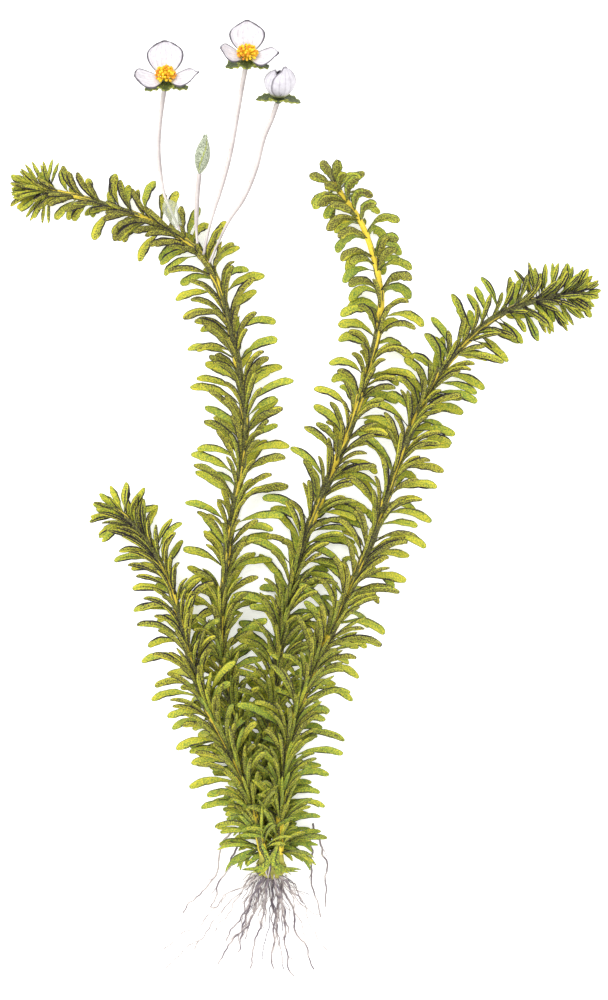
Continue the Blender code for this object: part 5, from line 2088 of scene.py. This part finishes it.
@dataclass
class Bud:
    """The closed green bud on its stalk."""

    foot: Triple = (-32.2, 102.2, 2.7)
    size: Triple = (4.9, 12.4, 4.6)
    turn: float = -9.0

    def build(self) -> None:
        """Builds three overlapping sepals closed to an egg, with a point on each."""
        rows, columns = 30, 36
        wide, tall, deep = self.size
        points, spots = [], []
        for r in range(rows):
            v = r / (rows - 1)
            slim = math.sin(math.pi * min(max(v, 0.012), 0.975)) ** 0.72 * (1.0 - 0.2 * v**2)
            for c in range(columns):
                turn = math.tau * c / columns
                lap = (3 * turn / math.tau + 0.6 * v) % 1.0
                ridge = 1.0 + 0.07 * (1 - lap) ** 4 - 0.05 * math.exp(-((lap - 0.97) / 0.04) ** 2)
                across, up = wide / 2 * slim * ridge, deep / 2 * slim * ridge
                points.append((across * math.cos(turn), v * tall, up * math.sin(turn)))
                spots.append((c / columns, v, math.exp(-(((lap - 0.97) / 0.06) ** 2))))
        spin = np.array(Matrix.Rotation(math.radians(self.turn), 3, "Z"))
        draft = Draft()
        faces = shell_faces(rows, columns, inside_out=True)
        draft.add(np.array(points) @ spin.T + self.foot, faces, np.array(spots))
        tip = np.array([0.0, tall, 0.0])
        for k in range(3):
            turn = math.tau * (k + 0.3) / 3
            side = np.array([math.cos(turn), 0.0, math.sin(turn)])
            steps = ((0.93, 0.6), (0.98, 0.5), (1.02, 0.6), (1.06, 0.8))
            line = np.array([tip * along + side * aside for along, aside in steps])
            draft.tube(line @ spin.T + self.foot, np.array([0.36, 0.26, 0.14, 0.04]), 8)
        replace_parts(draft.finished("bud_closed", BudSkin()), "bud")


@dataclass
class Spathe:
    """The thin split sheath that the left flower's stalk grows out of."""

    foot: Triple = (-38.6, 85.2, 11.2)
    heading: Triple = (-0.40, 0.90, -0.16)
    length: float = 7.6
    radii: tuple[float, float] = (1.35, 2.3)
    thickness: float = 0.14

    def build(self) -> None:
        """Builds the sheath, open along one side, with two points at its mouth."""
        rows, columns = 18, 29
        spin = np.array(Vector(self.heading).to_track_quat("Z", "Y").to_matrix())
        grid = np.zeros((rows, columns, 3))
        for r, v in enumerate(np.linspace(0.0, 1.0, rows)):
            radius = self.radii[0] + (self.radii[1] - self.radii[0]) * v + 0.25 * v**3
            for c, u in enumerate(np.linspace(-1.0, 1.0, columns)):
                turn = u * math.radians(158 - 40 * v)
                tall = self.length * (v + 0.16 * v * math.cos(2 * turn))
                grid[r, c] = (radius * math.sin(turn), radius * math.cos(turn), tall)
        draft = Draft()
        draft.sheet(grid @ spin.T + np.array(self.foot), self.thickness)
        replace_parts(draft.finished("spathe_film", SpatheFilm()), "spathe")


@dataclass
class Studio:
    """Pale table, soft light and the camera that looks straight down."""

    table_side: float = 9000.0
    frame_height: float = 312.5
    lens: float = 135.0
    sensor: float = 36.0
    look_at: tuple[float, float] = (0.6, 0.0)
    plant_level: float = 7.0
    sky: float = 1.12

    def build(self) -> None:
        """Builds the table, lights the scene and sets the camera."""
        half = self.table_side / 2 * MM
        mesh = bpy.data.meshes.new("table_top")
        corners = [(-half, -half, 0), (half, -half, 0), (half, half, 0), (-half, half, 0)]
        mesh.from_pydata(corners, [], [(0, 1, 2, 3)])
        mesh.materials.append(TableTop().material())
        table = put_in_scene("table_top", mesh)
        table.location.z = -0.1 * MM
        self.light("soft_window", (-0.55, 0.55, 0.95), 0.9, 9.0)
        self.light("fill", (0.3, -0.7, 1.0), 1.2, 5.0)
        world = bpy.data.worlds.new("studio_air")
        world.use_nodes = True
        air = world.node_tree.nodes["Background"].inputs
        air["Color"].default_value, air["Strength"].default_value = linear("#FFFFFF"), self.sky
        bpy.context.scene.world = world
        bpy.context.scene.view_settings.view_transform = "Standard"
        lens = bpy.data.cameras.new("overhead")
        lens.lens, lens.sensor_width, lens.clip_end = self.lens, self.sensor, 20.0
        camera = put_in_scene("overhead", lens)
        height = self.lens / self.sensor * self.frame_height + self.plant_level
        camera.location = (self.look_at[0] * MM, self.look_at[1] * MM, height * MM)
        bpy.context.scene.camera = camera

    def light(self, name: str, place: Triple, size: float, power: float) -> None:
        """Adds a square soft light that points at the plant.

        Args:
            name: of the light.
            place: in metres.
            size: of its side, in metres.
            power: in watts.
        """
        data = bpy.data.lights.new(name, "AREA")
        data.size, data.energy = size, power
        lamp = put_in_scene(name, data)
        lamp.location = place
        lamp.rotation_euler = (-Vector(place)).to_track_quat("-Z", "Y").to_euler()


def main() -> None:
    """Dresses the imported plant, piece by piece."""
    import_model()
    Studio().build()
    crown = Crown()
    crown.build()
    clear_of = [Roots(crown).build(), Stalks().build()]
    Spathe().build()
    for flower in FLOWERS:
        flower.build()
    Bud().build()
    for shoot in SHOOTS:
        others = np.concatenate([other.points for other in SHOOTS if other is not shoot])
        shoot.build(Surroundings(others, np.concatenate(clear_of)))


if __name__ == "__main__":
    logging.basicConfig(level=logging.INFO, format="%(name)s: %(message)s")
    main()
